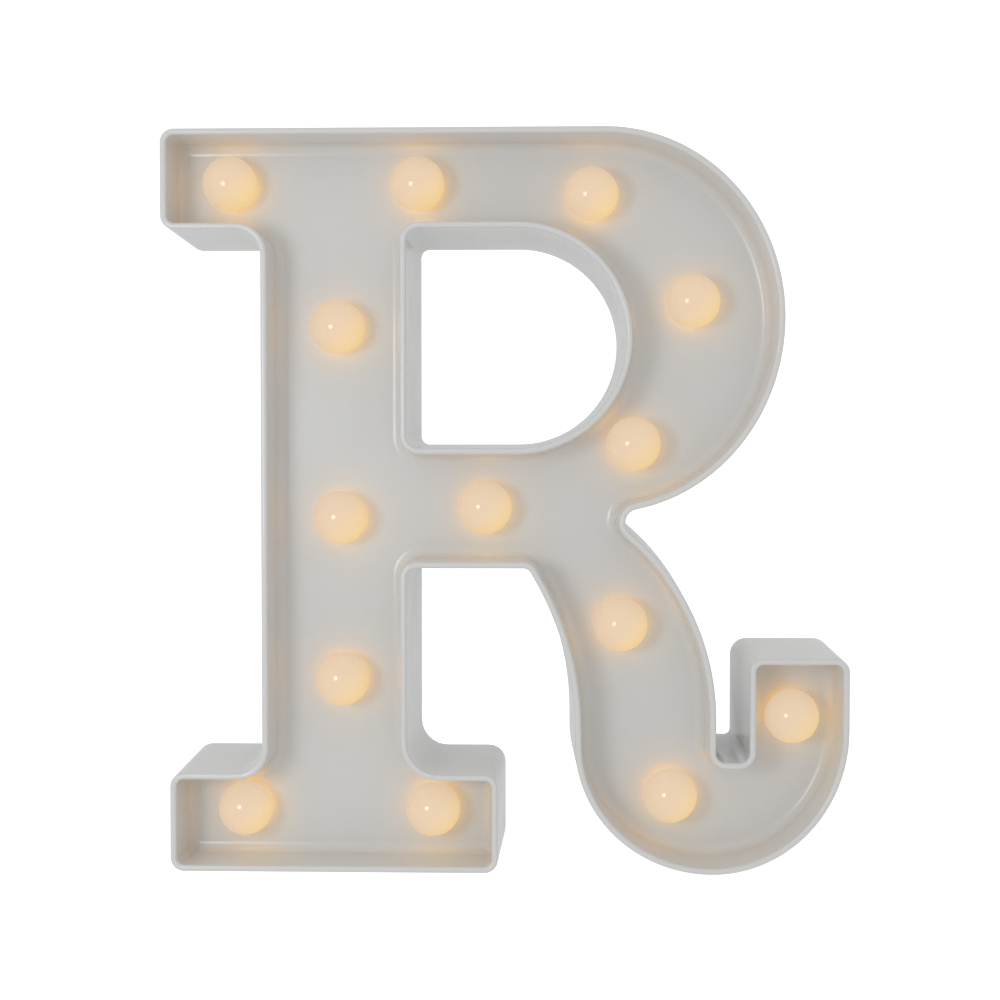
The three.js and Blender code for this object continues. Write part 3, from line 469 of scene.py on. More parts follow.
def rounded(corners):
    """A profile through corners given as (depth, offset, radius)."""
    profile = []
    for k, (y, offset, radius) in enumerate(corners):
        corner = Vector((y, offset))
        if radius == 0:
            profile.append(corner)
            continue
        before = (Vector(corners[k - 1][:2]) - corner).normalized()
        after = (Vector(corners[k + 1][:2]) - corner).normalized()
        half = abs(turn_between(before, after)) / 2
        centre = corner + (before + after).normalized() * radius / math.sin(half)
        start = corner + before * radius / math.tan(half) - centre
        end = corner + after * radius / math.tan(half) - centre
        sweep = turn_between(start, end)
        profile += [centre + turned(start, sweep * s / ROUND_STEPS) for s in range(ROUND_STEPS + 1)]
    return profile


def supported(profile):
    """The profile with a point near each end of every long run, so that its rounds shade evenly."""
    result = [profile[0]]
    for a, b in zip(profile, profile[1:]):
        if (b - a).length > LONG_RUN:
            step = (b - a).normalized() * SUPPORT
            result += [a + step, b - step]
        result.append(b)
    return result


class Skin:
    """Points and faces of one closed surface, in millimetres."""

    def __init__(self):
        self.points = []
        self.faces = []

    def loop(self, points):
        start = len(self.points)
        self.points += points
        return list(range(start, len(self.points)))

    def strip(self, a, b):
        for k in range(len(a)):
            self.faces.append((a[k - 1], a[k], b[k], b[k - 1]))

    def walls(self, rows):
        """Strips from the loops of each row to those of the next."""
        for nearer, further in zip(rows, rows[1:]):
            for a, b in zip(nearer, further):
                self.strip(a, b)

    def loft(self, loops):
        """Strips through all the loops, and a face over each end."""
        self.walls([[loop] for loop in loops])
        self.faces += [loops[0], loops[-1]]

    def fill(self, loops):
        """Triangles between an outer loop and the holes in it, all at one depth."""
        names = [k for loop in loops for k in loop]
        owners = [which for which, loop in enumerate(loops) for _ in loop]
        links = []
        for loop in loops:
            start = len(links)
            links += [(start + k, start + (k + 1) % len(loop)) for k in range(len(loop))]
        flat = [self.points[k].xz for k in names]
        _, _, triangles, source = delaunay_2d_cdt(flat, links, [], INSIDE_ONLY, NEAR)[:4]
        for triangle in triangles:
            corners = [source[k][0] for k in triangle]
            touched = {owners[k] for k in corners}
            if len(touched) > 1 or 0 in touched:
                self.faces.append([names[k] for k in corners])

    def made(self, name):
        """The surface as an object, in metres, with its faces turned outwards."""
        mesh = bpy.data.meshes.new(name)
        mesh.from_pydata([p * MM for p in self.points], [], self.faces)
        shape = bmesh.new()
        shape.from_mesh(mesh)
        bmesh.ops.recalc_face_normals(shape, faces=shape.faces)
        shape.to_mesh(mesh)
        shape.free()
        smoothed(mesh, SHARP_DEGREES)
        return linked(name, mesh)


def smoothed(mesh, sharp_degrees):
    mesh.shade_smooth()
    mesh.set_sharp_from_angle(angle=math.radians(sharp_degrees))


def linked(name, data):
    piece = bpy.data.objects.new(name, data)
    bpy.context.scene.collection.objects.link(piece)
    return piece


def lofted(name, rings):
    """A closed solid through rings of points, with a face over each end."""
    skin = Skin()
    skin.loft([skin.loop(ring) for ring in rings])
    return skin.made(name)


def letter_rings(skin, y, offset):
    """Both outlines at one depth and offset, no lower than what the letter stands on."""
    loops = ([p for item in edge for p in item(offset)] for edge in edges)
    return [skin.loop([Vector((p.x, y, max(p.y, 0))) for p in loop]) for loop in loops]


def swept(radius, start, sweep, steps):
    """Points of an arc about the origin, as pairs of sides."""
    angles = [start + sweep * k / steps for k in range(steps + 1)]
    return [(radius * math.cos(a), radius * math.sin(a)) for a in angles]


def circle(x, y, z, radius, sides=HOLE_SIDES):
    round_sides = swept(radius, 0, 2 * math.pi, sides)[:-1]
    return [Vector((x + across, y, z + up)) for across, up in round_sides]


def centre_of(node):
    low, high = box_mm(node)
    return (low + high) / 2


def numbered(stem, count):
    return [f"{stem}_{k:02d}" for k in range(1, count + 1)]


def at_depth(spots, y):
    return [Vector((s.x, y, s.z)) for s in spots]


ball_nodes = numbered("bulb_cap", BALL_COUNT)
lamp_nodes = numbered("lamp", BALL_COUNT)
screw_nodes = numbered("screw", SCREW_COUNT)
ball_spots = [centre_of(node) for node in ball_nodes]
screw_spots = [centre_of(node) for node in screw_nodes]


# Finishes

def add(tree, kind, **settings):
    """A new node with its settings, which are its sockets' values or its own properties."""
    node = tree.nodes.new(kind)
    for key, value in settings.items():
        if key in node.inputs.keys():
            node.inputs[key].default_value = value
        else:
            setattr(node, key, value)
    return node


def fix(node, values):
    for socket, value in values.items():
        node.inputs[socket].default_value = value


def join(tree, *links):
    """Links given as (node, output, node, input)."""
    for source, output, target, entry in links:
        tree.links.new(source.outputs[output], target.inputs[entry])


class Look:
    """A new material with its node tree and its shader."""

    def __init__(self, name):
        self.material = bpy.data.materials.new(name)
        self.material.use_nodes = True
        self.tree = self.material.node_tree
        self.link = self.tree.links.new
        self.shader = self.tree.nodes["Principled BSDF"]

    def feed(self, name, source):
        self.link(source, self.shader.inputs[name])

    def place(self):
        return add(self.tree, "ShaderNodeTexCoord").outputs["Object"]

    def kept(self, name, output):
        """A value that the piece keeps at each of its points."""
        return add(self.tree, "ShaderNodeAttribute", attribute_name=name).outputs[output]

    def noise(self, source, scale, detail=3):
        node = add(self.tree, "ShaderNodeTexNoise", Scale=scale, Detail=detail)
        self.link(source, node.inputs["Vector"])
        return node.outputs["Fac"]

    def ranged(self, value, low, high, start=0.0, end=1.0):
        node = add(self.tree, "ShaderNodeMapRange")
        fix(node, {"From Min": start, "From Max": end, "To Min": low, "To Max": high})
        self.link(value, node.inputs["Value"])
        return node.outputs["Result"]

    def mixed(self, factor, first, second):
        node = add(self.tree, "ShaderNodeMix", data_type="RGBA")
        for number, colour in ((MIX_FIRST, first), (MIX_SECOND, second)):
            if isinstance(colour, tuple):
                node.inputs[number].default_value = (*colour, 1)
            else:
                self.link(colour, node.inputs[number])
        self.link(factor, node.inputs[MIX_FACTOR])
        return node.outputs[MIX_RESULT]

    def bump(self, height, distance, strength):
        node = add(self.tree, "ShaderNodeBump", Strength=strength, Distance=distance)
        self.link(height, node.inputs["Height"])
        self.feed("Normal", node.outputs["Normal"])


def moulded_plastic(name, colour, shade, roughness, grain=0.3, subsurface=0.0):
    """Plastic with a faint cloudiness, slow changes in its gloss and the slight waves of a wall."""
    look = Look(name)
    place = look.place()
    look.feed("Base Color", look.mixed(look.noise(place, scale=35), shade, colour))
    gloss = look.noise(place, scale=90, detail=5)
    look.feed("Roughness", look.ranged(gloss, roughness * 0.8, roughness * 1.25, *NOISE_SPAN))
    look.bump(look.noise(place, scale=30, detail=0), distance=0.0001, strength=grain)
    fix(look.shader, {"IOR": 1.5, "Subsurface Weight": subsurface})
    fix(look.shader, {"Subsurface Radius": (0.9, 0.75, 0.55), "Subsurface Scale": 0.003})
    return look.material


def plated_metal(name, colour, shade, roughness):
    """Plated steel with fine drawn lines and a little dullness in patches."""
    look = Look(name)
    place = look.place()
    patch = look.noise(place, scale=220, detail=4)
    look.feed("Base Color", look.mixed(patch, shade, colour))
    look.feed("Roughness", look.ranged(patch, roughness * 0.7, roughness * 1.4, *NOISE_SPAN))
    look.bump(look.noise(place, scale=3500, detail=2), distance=0.00003, strength=0.35)
    fix(look.shader, {"Metallic": 1})
    return look.material


def lit_ball(name):
    """Glowing frosted plastic: peach, with painted shade yellower low on the right, stronger at the neck.
    """
    look = Look(name)
    spot = look.kept("ball_place", "Vector")
    lean = add(look.tree, "ShaderNodeVectorMath", operation="DOT_PRODUCT")
    fix(lean, {1: SHADED_SIDE_WAY})
    look.link(spot, lean.inputs[0])
    # Painted shade: the side away from the key light, low on the right, turns yellower and a little
    # stronger
    shaded_side = look.ranged(lean.outputs["Value"], 0, 1, *SHADED_SIDE_SPAN)
    grain = look.noise(spot, scale=400, detail=4)
    glow = look.mixed(shaded_side, GLOW_PEACH, GLOW_SHADED_YELLOW)
    inward = add(look.tree, "ShaderNodeSeparateXYZ")
    look.link(spot, inward.inputs["Vector"])
    near_neck = look.ranged(inward.outputs["Y"], 0, 1, *NECK_SPAN)
    look.feed("Emission Color", look.mixed(near_neck, glow, GLOW_NECK))
    neck_glow = look.ranged(near_neck, *NECK_STRENGTHS)
    strength = add(look.tree, "ShaderNodeMath", operation="MULTIPLY")
    look.link(neck_glow, strength.inputs[0])
    look.link(look.ranged(shaded_side, *GLOW_STRENGTHS), strength.inputs[1])
    look.feed("Emission Strength", strength.outputs["Value"])
    look.feed("Base Color", look.mixed(grain, *BALL_COLOURS))
    look.feed("Roughness", look.ranged(grain, *BALL_ROUGHNESS))
    fix(look.shader, {"Specular IOR Level": 0, "Specular Tint": (0, 0, 0, 1), "Metallic": 0.2})
    look.bump(look.noise(spot, scale=150, detail=1), distance=0.00005, strength=0.25)
    return look.material


def glowing(name, colour, strength):
    """Clear epoxy lit from inside, a little dimmer in specks."""
    look = Look(name)
    grain = look.noise(look.place(), scale=900)
    dim = tuple(channel * 0.9 for channel in colour)
    look.feed("Emission Color", look.mixed(grain, dim, colour))
    fix(look.shader, {"Emission Strength": strength, "Roughness": 0.2})
    return look.material


def cell_sleeve(name):
    """A cell's shrink sleeve: dark green with a pale band near its positive end, and bare steel ends."""
    look = Look(name)
    place = look.place()
    level = look.kept("cell_level", "Fac")
    band = add(look.tree, "ShaderNodeValToRGB")
    band.color_ramp.interpolation = "CONSTANT"
    stops = band.color_ramp.elements
    for k, (at, colour) in enumerate(CELL_BANDS):
        stop = stops[k] if k < 2 else stops.new(at)
        stop.position = at
        stop.color = (*colour, 1)
    look.link(level, band.inputs["Fac"])
    look.feed("Base Color", band.outputs["Color"])
    scuff = look.noise(place, scale=500, detail=5)
    look.feed("Roughness", look.ranged(scuff, 0.3, 0.46, *NOISE_SPAN))
    look.bump(scuff, distance=0.00005, strength=0.2)
    fix(look.shader, {"Metallic": 0.35})
    return look.material


white = moulded_plastic(
    "white_plastic", (0.70, 0.70, 0.685), (0.68, 0.68, 0.67), roughness=0.2, grain=0.12, subsurface=0.04)
white_matt = moulded_plastic(
    "white_matt_plastic", (0.70, 0.70, 0.69), (0.67, 0.67, 0.66), roughness=0.5, grain=0.5,
    subsurface=0.04)
black = moulded_plastic(
    "black_plastic", (0.02, 0.02, 0.022), (0.03, 0.03, 0.03), roughness=0.45, grain=0.4)
printed_grey = moulded_plastic("printed_grey", (0.10, 0.10, 0.105), (0.13, 0.13, 0.13), roughness=0.5)
red_sheath = moulded_plastic("red_sheath", (0.45, 0.02, 0.015), (0.38, 0.015, 0.012), roughness=0.35)
black_sheath = moulded_plastic("black_sheath", (0.02, 0.02, 0.02), (0.03, 0.03, 0.03), roughness=0.35)
nickel = plated_metal("nickel_plate", (0.72, 0.70, 0.66), (0.60, 0.58, 0.55), roughness=0.18)
zinc = plated_metal("zinc_plate", (0.70, 0.70, 0.70), (0.55, 0.56, 0.58), roughness=0.42)
ball_finish = lit_ball("frosted_ball")
lamp_finish = glowing("lamp_epoxy", LAMP_COLOUR, LAMP_STRENGTH)
sleeve = cell_sleeve("cell_sleeve")


def dress(piece, finish):
    piece.data.materials.clear()
    piece.data.materials.append(finish)


def stands_for(piece, body, slot, *nodes):
    """The piece rides on a body and stands in for CAD nodes; the slot is not used."""
    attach(piece, body)
    if nodes:
        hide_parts(*nodes)


# The front tray

def front_tray():
    skin = Skin()
    wall_foot = -RIM - RECESS_DRAFT
    profile = supported(rounded([
        (face_back, flare_at(face_back) - BACK_WALL, 0),
        (back, FLARE - BACK_WALL, BACK_EDGE_ROUND),
        (back, FLARE, BACK_EDGE_ROUND),
        (front, 0, RIM_ROUND),
        (front, -RIM, RIM_ROUND),
        (face_front, wall_foot, COVE),
        (face_front, wall_foot - COVE - SUPPORT, 0),
    ]))
    rows = [letter_rings(skin, y, offset) for y, offset in profile]
    skin.walls(rows)
    hole = NECK_RADIUS + GAP
    fronts, backs = (
        [skin.loop(circle(s.x, y, s.z, hole)) for s in ball_spots] for y in (face_front, face_back)
    )
    skin.walls([fronts, backs])
    skin.fill(rows[-1] + fronts)
    skin.fill(rows[0] + backs)
    for s in screw_spots:
        boss(skin, s)
    tray = skin.made("letter_tray")
    dress(tray, white)
    return tray


def boss(skin, s):
    """A screw boss standing on the back of the face, with its blind pilot hole."""
    end = cover_in - GAP
    pilot_floor = box_mm("screw_01")[0].y - PILOT_SPARE
    profile = [
        (face_back - FACE / 2, BOSS_RADIUS), (end, BOSS_RADIUS),
        (end, PILOT_RADIUS), (pilot_floor, PILOT_RADIUS),
    ]
    skin.loft([skin.loop(circle(s.x, y, s.z, radius)) for y, radius in profile])


tray = front_tray()
stands_for(tray, "letter", "white_plastic", "front_shell")


# Pieces made by node trees

def tree_modifier(piece, name, inputs):
    """A node tree on a piece, with its sizes as named inputs: the tree, its first node and its last."""
    tree = bpy.data.node_groups.new(name, "GeometryNodeTree")
    tree.interface.new_socket("Geometry", in_out="INPUT", socket_type="NodeSocketGeometry")
    tree.interface.new_socket("Geometry", in_out="OUTPUT", socket_type="NodeSocketGeometry")
    modifier = piece.modifiers.new(name, "NODES")
    modifier.node_group = tree
    for label, (kind, value) in inputs.items():
        socket = tree.interface.new_socket(label, in_out="INPUT", socket_type=kind)
        modifier[socket.identifier] = value
    return tree, tree.nodes.new("NodeGroupInput"), tree.nodes.new("NodeGroupOutput")


def finish_tree(tree, end, geometry, finish):
    realize = tree.nodes.new("GeometryNodeRealizeInstances")
    paint = add(tree, "GeometryNodeSetMaterial", Material=finish)
    tree.links.new(geometry, realize.inputs["Geometry"])
    join(tree, (realize, "Geometry", paint, "Geometry"), (paint, "Geometry", end, "Geometry"))


def settled(piece, sharp_degrees=SHARP_DEGREES):
    """The piece with what its modifiers make as its own plain mesh."""
    bpy.context.view_layer.update()
    shape = piece.evaluated_get(bpy.context.evaluated_depsgraph_get())
    mesh = bpy.data.meshes.new_from_object(shape)
    piece.modifiers.clear()
    piece.data = mesh
    smoothed(mesh, sharp_degrees)
    return piece


def repeated(name, pattern, spots, finish, seed, most_turn=0.0):
    """Copies of a pattern piece at given spots, each with its own turn about its axis."""
    mesh = bpy.data.meshes.new(name)
    mesh.from_pydata([spot * MM for spot in spots], [], [])
    piece = linked(name, mesh)
    sizes = {
        "Pattern": ("NodeSocketObject", pattern),
        "Most turn": ("NodeSocketFloat", most_turn),
        "Seed": ("NodeSocketInt", seed),
    }
    tree, start, end = tree_modifier(piece, name + "_tree", sizes)
    info = tree.nodes.new("GeometryNodeObjectInfo")
    chance = tree.nodes.new("FunctionNodeRandomValue")
    angle = tree.nodes.new("ShaderNodeCombineXYZ")
    copies = tree.nodes.new("GeometryNodeInstanceOnPoints")
    points = tree.nodes.new("GeometryNodeMeshToPoints")
    join(
        tree,
        (start, "Pattern", info, "Object"), (start, "Most turn", chance, RANDOM_MOST),
        (start, "Seed", chance, "Seed"), (chance, RANDOM_NUMBER, angle, "Y"),
        (start, "Geometry", points, "Mesh"), (points, "Points", copies, "Points"),
        (info, "Geometry", copies, "Instance"), (angle, "Vector", copies, "Rotation"),
    )
    finish_tree(tree, end, copies.outputs["Instances"], finish)
    settled(piece)
    bpy.data.objects.remove(pattern)
    return piece


def lathed(name, profile, sides):
    """A closed solid turned about the y axis from a profile of (y, radius) that starts and ends on it."""
    skin = Skin()
    rings = [skin.loop(circle(0, y, 0, radius, sides)) for y, radius in profile[1:-1]]
    skin.walls([[ring] for ring in rings])
    for (y, _), ring in ((profile[0], rings[0]), (profile[-1], rings[-1])):
        tip = skin.loop([Vector((0, y, 0))])[0]
        skin.faces += [(ring[k - 1], ring[k], tip) for k in range(len(ring))]
    return skin.made(name)


# The balls

def ball_section(radius, opening):
    """Half of a ball's section, from its front to where its neck opens."""
    sweep = math.pi - math.asin(opening / radius)
    return [(-along, out) for along, out in swept(radius, 0, sweep, BALL_RINGS)]


def ball_pattern():
    """A hollow ball with its neck, about its own middle, keeping each point's place for the glow."""
    box_low, box_high = box_mm("bulb_cap_01")
    middle = box_low.y + BALL_RADIUS
    end = box_high.y - middle
    bore = NECK_RADIUS - BALL_SKIN
    neck = [(end, NECK_RADIUS), (end, bore)]
    outside = ball_section(BALL_RADIUS, NECK_RADIUS)
    inside = ball_section(BALL_RADIUS - BALL_SKIN, bore)
    ball = lathed("ball_pattern", outside + neck + inside[::-1], BALL_SIDES)
    place = ball.data.attributes.new("ball_place", "FLOAT_VECTOR", "POINT")
    for point, value in zip(ball.data.vertices, place.data):
        value.vector = point.co
    return ball, middle


pattern, ball_middle = ball_pattern()
balls = repeated("frosted_balls", pattern, at_depth(ball_spots, ball_middle), ball_finish, seed=1)
stands_for(balls, "letter", "frosted_plastic", *ball_nodes)


# Shapes that are joined and cut

def slab(x, z, rings, corner=SMALL_ROUND):
    """A closed slab with rounded corners, through rings given as (depth, inset from its sides)."""
    middle = Vector(((x[0] + x[1]) / 2, 0, (z[0] + z[1]) / 2))
    loops = []
    for y, inset in rings:
        radius = max(corner - inset, LEAST_ROUND)
        half = Vector(((x[1] - x[0]) / 2 - inset - radius, 0, (z[1] - z[0]) / 2 - inset - radius))
        points = []
        for side, (across, up) in enumerate(((1, 1), (-1, 1), (-1, -1), (1, -1))):
            corner_at = middle + Vector((across * half.x, y, up * half.z))
            for step in range(CORNER_STEPS + 1):
                angle = QUARTER * (side + step / CORNER_STEPS)
                points.append(corner_at + Vector((math.cos(angle), 0, math.sin(angle))) * radius)
        loops.append(points)
    return lofted("slab", loops)


def rod_along_x(y, z, radius, x):
    round_sides = swept(radius, 0, 2 * math.pi, ROD_SIDES)[:-1]
    return lofted("rod", [[Vector((at, y + along, z + up)) for along, up in round_sides] for at in x])


def combined(base, operation, others):
    """The base joined with or cut by the others, which are used up."""
    for other in others:
        step = base.modifiers.new(operation.lower(), "BOOLEAN")
        step.operation = operation
        step.solver = "MANIFOLD"
        step.object = other
    settled(base)
    for other in others:
        bpy.data.objects.remove(other)
    return base


def around(middle, half):
    return middle - half, middle + half


# The back cover, with its battery box, switch pocket, keyholes and sunk screw holes

door_in = back - DOOR
cell_low, cell_high = box_mm("battery_01")
cell_radius = (cell_high.x - cell_low.x) / 2
cell_spacing = centre_of("battery_02").x - centre_of("battery_01").x
cell_y = centre_of("battery_01").y
box_floor = cell_y - cell_radius - GAP
box_half = cell_spacing / 2 + cell_radius + BOX_SIDE_CLEARANCE
box_bottom = box_mm("link_plate")[0].z - GAP
box_top = box_mm("positive_plate")[0].z + PLATE + GAP
tab_y = box_floor + TAB_DEPTH
ledge = door_in - GAP
door_half = box_half + DOOR_LEDGE
opening_half = door_half + GAP
hinge_y = back - BARREL_RADIUS
hinge_z = box_bottom - BARREL_INSET
door_top = box_top + DOOR_LEDGE
latch_first = box_top + BOX_WALL + GAP
latch_last = latch_first + 2 * LATCH_BEND
well_half = LATCH_HALF + LATCH_ROOM
well_top = latch_last + LATCH_ROOM + GAP
well_floor = back - LATCH_DEPTH - LATCH_BEND - LATCH_ROOM
ear_out = door_half + PIN_LENGTH + GAP + EAR_WALL
switch_at = centre_of("switch_body")
switch_back = box_mm("switch_body")[1].y
pocket_floor = back - POCKET_DEPTH
beyond = back + OVERRUN
rooted = cover_in + COVER / 2


def cover_plate():
    offset = flare_at(cover_in) - BACK_WALL - COVER_FIT
    skin = Skin()
    rows = [letter_rings(skin, y, offset - inset) for y, inset in plate_rings(cover_in)]
    skin.walls(rows)
    skin.fill(rows[0])
    skin.fill(rows[-1])
    return skin.made("letter_cover")


def plate_rings(start):
    """Rings of a plate that ends at the back with a small round."""
    third = SMALL_ROUND / 3
    return [(start, 0), (back - SMALL_ROUND, 0), (back - third, third), (back, SMALL_ROUND)]


def box_walls():
    underside = box_floor - BOX_FLOOR
    walls = slab(
        around(stem_mid, box_half + BOX_WALL),
        (box_bottom - BOX_HINGE_WALL, box_top + BOX_WALL),
        [(underside, SMALL_ROUND), (underside + SMALL_ROUND, 0), (rooted, 0)], BOX_WALL)
    well = slab(
        around(stem_mid, well_half + WELL_WALL),
        (box_top + BOX_WALL / 2, well_top + WELL_WALL),
        [(well_floor - WELL_WALL, 0), (rooted, 0)])
    ears = slab(
        around(stem_mid, ear_out),
        around(hinge_z, EAR_REACH),
        [(hinge_y - BARREL_RADIUS - EAR_DEPTH, 0), (rooted, 0)])
    return [walls, well, ears]


def box_cuts():
    room = BARREL_RADIUS + GAP
    opening = around(stem_mid, opening_half)
    latch_width = around(stem_mid, well_half)
    cuts = [
        slab(around(stem_mid, box_half), (box_bottom, box_top), [(box_floor, 0), (beyond, 0)], BOX_FLOOR),
        slab(opening, (hinge_z, door_top + GAP), [(ledge, 0), (beyond, 0)]),
        slab(opening, around(hinge_z, room), [(hinge_y - room, 0), (beyond, 0)]),
        slab(latch_width, (box_top + BOX_WALL, well_top), [(well_floor, 0), (beyond, 0)]),
        slab(latch_width, (box_top, well_top), [(ledge, 0), (beyond, 0)]),
        rod_along_x(hinge_y, hinge_z, PIN_RADIUS + GAP, around(stem_mid, door_half + PIN_LENGTH + GAP)),
    ]
    for x in (centre_of("battery_01").x, centre_of("battery_02").x):
        tab_slot = (box_top - OVERRUN, box_top + BOX_WALL + OVERRUN)
        rings = [(tab_y - GAP, 0), (tab_y + PLATE + GAP, 0)]
        cuts.append(slab(around(x, TAB_WIDTH / 2 + GAP), tab_slot, rings, LEAST_ROUND))
    return cuts


def pocket_shapes():
    pan_wall = (pocket_floor - POCKET_FLOOR, 0), (rooted, 0)
    across = around(switch_at.x, POCKET_LENGTH / 2 + POCKET_FLOOR)
    pan = slab(across, around(switch_at.z, POCKET_WIDTH / 2 + POCKET_FLOOR), pan_wall, POCKET_FLOOR)
    start = SWITCH_WIDTH / 2 + GAP
    rails = []
    for low in (switch_at.z - start - RAIL, switch_at.z + start):
        rings = [(switch_back - RAIL_DEPTH, 0), (pocket_floor - POCKET_FLOOR / 2, 0)]
        rails.append(slab(around(switch_at.x, SWITCH_LENGTH / 2), (low, low + RAIL), rings, LEAST_ROUND))
    return [pan, *rails]


def pocket_cuts():
    across = around(switch_at.x, POCKET_LENGTH / 2)
    dish_rings = [(pocket_floor, SMALL_ROUND), (pocket_floor + SMALL_ROUND, 0), (beyond, 0)]
    dish = slab(across, around(switch_at.z, POCKET_WIDTH / 2), dish_rings, POCKET_FLOOR)
    knob_run = around(switch_at.x, (KNOB_LENGTH + KNOB_TRAVEL) / 2 + GAP)
    slot_rings = [(pocket_floor - POCKET_FLOOR - OVERRUN, 0), (back, 0)]
    slot = slab(knob_run, around(switch_at.z, KNOB_WIDTH / 2 + GAP), slot_rings)
    return [dish, slot]


def screw_sink(spot):
    """A cutter for a countersunk hole through the cover."""
    head = SCREW_HEAD_RADIUS + SCREW_SINK + GAP * math.sqrt(2)
    neck = SCREW_SHANK_RADIUS + GAP * math.sqrt(2)
    profile = [(cover_in - OVERRUN, neck), (back - head + neck, neck), (back, head), (beyond, head)]
    return lofted("sink", [circle(spot.x, y, spot.z, radius) for y, radius in profile])


def keyhole(spot):
    """A cutter for a round hole with a slot above it, for a wall screw's head and neck."""
    open_half = math.asin(KEY_SLOT_RADIUS / KEY_HEAD_RADIUS)
    head = swept(KEY_HEAD_RADIUS, QUARTER + open_half, 2 * math.pi - 2 * open_half, HOLE_SIDES)
    end = swept(KEY_SLOT_RADIUS, 0, math.pi, ROD_SIDES)
    outline = head + [(across, KEY_SLOT_RISE + up) for across, up in end]
    depths = (cover_in - OVERRUN, beyond)
    return lofted("keyhole", [[Vector((spot.x + x, y, spot.z + z)) for x, z in outline] for y in depths])


def polarity_marks():
    """Raised plus and minus signs on the box's floor, at each cell's two ends."""
    rings = [(box_floor - MARK_HEIGHT, 0), (box_floor + MARK_HEIGHT, 0)]
    marks = []
    for node, plus_up in (("battery_01", True), ("battery_02", False)):
        x = centre_of(node).x
        long_x, thin_x = around(x, MARK_LENGTH / 2), around(x, MARK_STROKE / 2)
        for z, plus in ((box_top - MARK_INSET, plus_up), (box_bottom + MARK_INSET, not plus_up)):
            marks.append(slab(long_x, around(z, MARK_STROKE / 2), rings, LEAST_ROUND))
            if plus:
                marks.append(slab(thin_x, around(z, MARK_LENGTH / 2), rings, LEAST_ROUND))
    return marks


def hang_spots():
    """The two keyholes, on the top of the stem and on the bowl, as shares of those strokes."""
    serif_key, bowl_key = KEY_SHARES
    stem = Vector((serif_left, 0, serif_under)), Vector((stem_right, 0, top))
    counter_right = counter_x + COUNTER_HEIGHT / 2
    bowl = Vector((counter_right, 0, bowl_z)), Vector((bowl_right, 0, top))
    spots = []
    for (low, high), (across, up) in ((stem, serif_key), (bowl, bowl_key)):
        spots.append(Vector((low.x + (high.x - low.x) * across, 0, low.z + (high.z - low.z) * up)))
    return spots


cover = cover_plate()
combined(cover, "UNION", box_walls() + pocket_shapes())
cuts = box_cuts() + pocket_cuts() + [screw_sink(s) for s in screw_spots]
combined(cover, "DIFFERENCE", cuts + [keyhole(s) for s in hang_spots()])
combined(cover, "UNION", polarity_marks())
dress(cover, white_matt)
stands_for(cover, "letter", "white_plastic", "back_cover")


def word(body, x, z):
    """A raised word on the pocket's floor, to be read from behind."""
    text = bpy.data.curves.new(body, "FONT")
    text.body = body
    text.size = WORD_SIZE
    text.extrude = WORD_HEIGHT
    text.resolution_u = WORD_STEPS
    text.align_x = "CENTER"
    text.align_y = "CENTER"
    source = linked(body, text)
    shape = source.evaluated_get(bpy.context.evaluated_depsgraph_get())
    mesh = bpy.data.meshes.new_from_object(shape)
    bpy.data.objects.remove(source)
    facing = Matrix(((-1, 0, 0), (0, 0, 1), (0, 1, 0))).to_4x4()
    mesh.transform(Matrix.Scale(MM, 4) @ Matrix.Translation((x, pocket_floor, z)) @ facing)
    return mesh


def switch_words():
    level = switch_at.z + (KNOB_WIDTH + POCKET_WIDTH) / 4
    reach = (KNOB_LENGTH + KNOB_TRAVEL) / 2
    shape = bmesh.new()
    for mesh in (word("ON", switch_at.x + reach, level), word("OFF", switch_at.x - reach, level)):
        shape.from_mesh(mesh)
    mesh = bpy.data.meshes.new("switch_words")
    shape.to_mesh(mesh)
    shape.free()
    return linked("switch_words", mesh)


words = switch_words()
dress(words, printed_grey)
stands_for(words, "letter", "black_plastic")


# The battery door and the switch's knob

def latch_bar():
    """The door's springy latch: a strip bent into a U."""
    middle = latch_first + LATCH_BEND
    bend_y = back - LATCH_DEPTH
    free_end = back - LATCH_SINK
    outer = swept(LATCH_BEND, -QUARTER, -math.pi, LATCH_STEPS)
    inner = swept(LATCH_BEND - LATCH_STRIP, QUARTER, math.pi, LATCH_STEPS)
    outline = [
        (back, latch_first), *[(bend_y + y, middle + z) for y, z in outer],
        (free_end, latch_last), (free_end, latch_last - LATCH_STRIP),
        *[(bend_y + y, middle + z) for y, z in inner], (back, latch_first + LATCH_STRIP),
    ]
    sides = around(stem_mid, LATCH_HALF)
    return lofted("latch", [[Vector((x, y, z)) for y, z in outline] for x in sides])


def finger_grooves():
    """Cutters for a row of shallow grooves near the door's upper edge, one above the other."""
    rings = [(back - GROOVE_DEPTH, SMALL_ROUND), (beyond, 0)]
    grooves = []
    for k in range(GRIP_COUNT):
        z = door_top - GRIP_INSET + (k - (GRIP_COUNT - 1) / 2) * GRIP_PITCH
        height = around(z, GRIP_PITCH / 4 + SMALL_ROUND)
        grooves.append(slab(around(stem_mid, GRIP_WIDTH / 2), height, rings))
    return grooves


def battery_lid():
    rings = plate_rings(door_in)
    lid = slab(around(stem_mid, door_half), (hinge_z, door_top), rings)
    tongue = slab(around(stem_mid, LATCH_HALF), (door_top - OVERRUN, latch_first + LATCH_STRIP), rings)
    barrel = rod_along_x(hinge_y, hinge_z, BARREL_RADIUS, around(stem_mid, door_half))
    pins = rod_along_x(hinge_y, hinge_z, PIN_RADIUS, around(stem_mid, door_half + PIN_LENGTH))
    combined(lid, "UNION", [barrel, pins, tongue, latch_bar()])
    return combined(lid, "DIFFERENCE", finger_grooves())


lid = battery_lid()
lid.name = "battery_lid"
dress(lid, white_matt)
stands_for(lid, "door", "white_plastic", "battery_door")


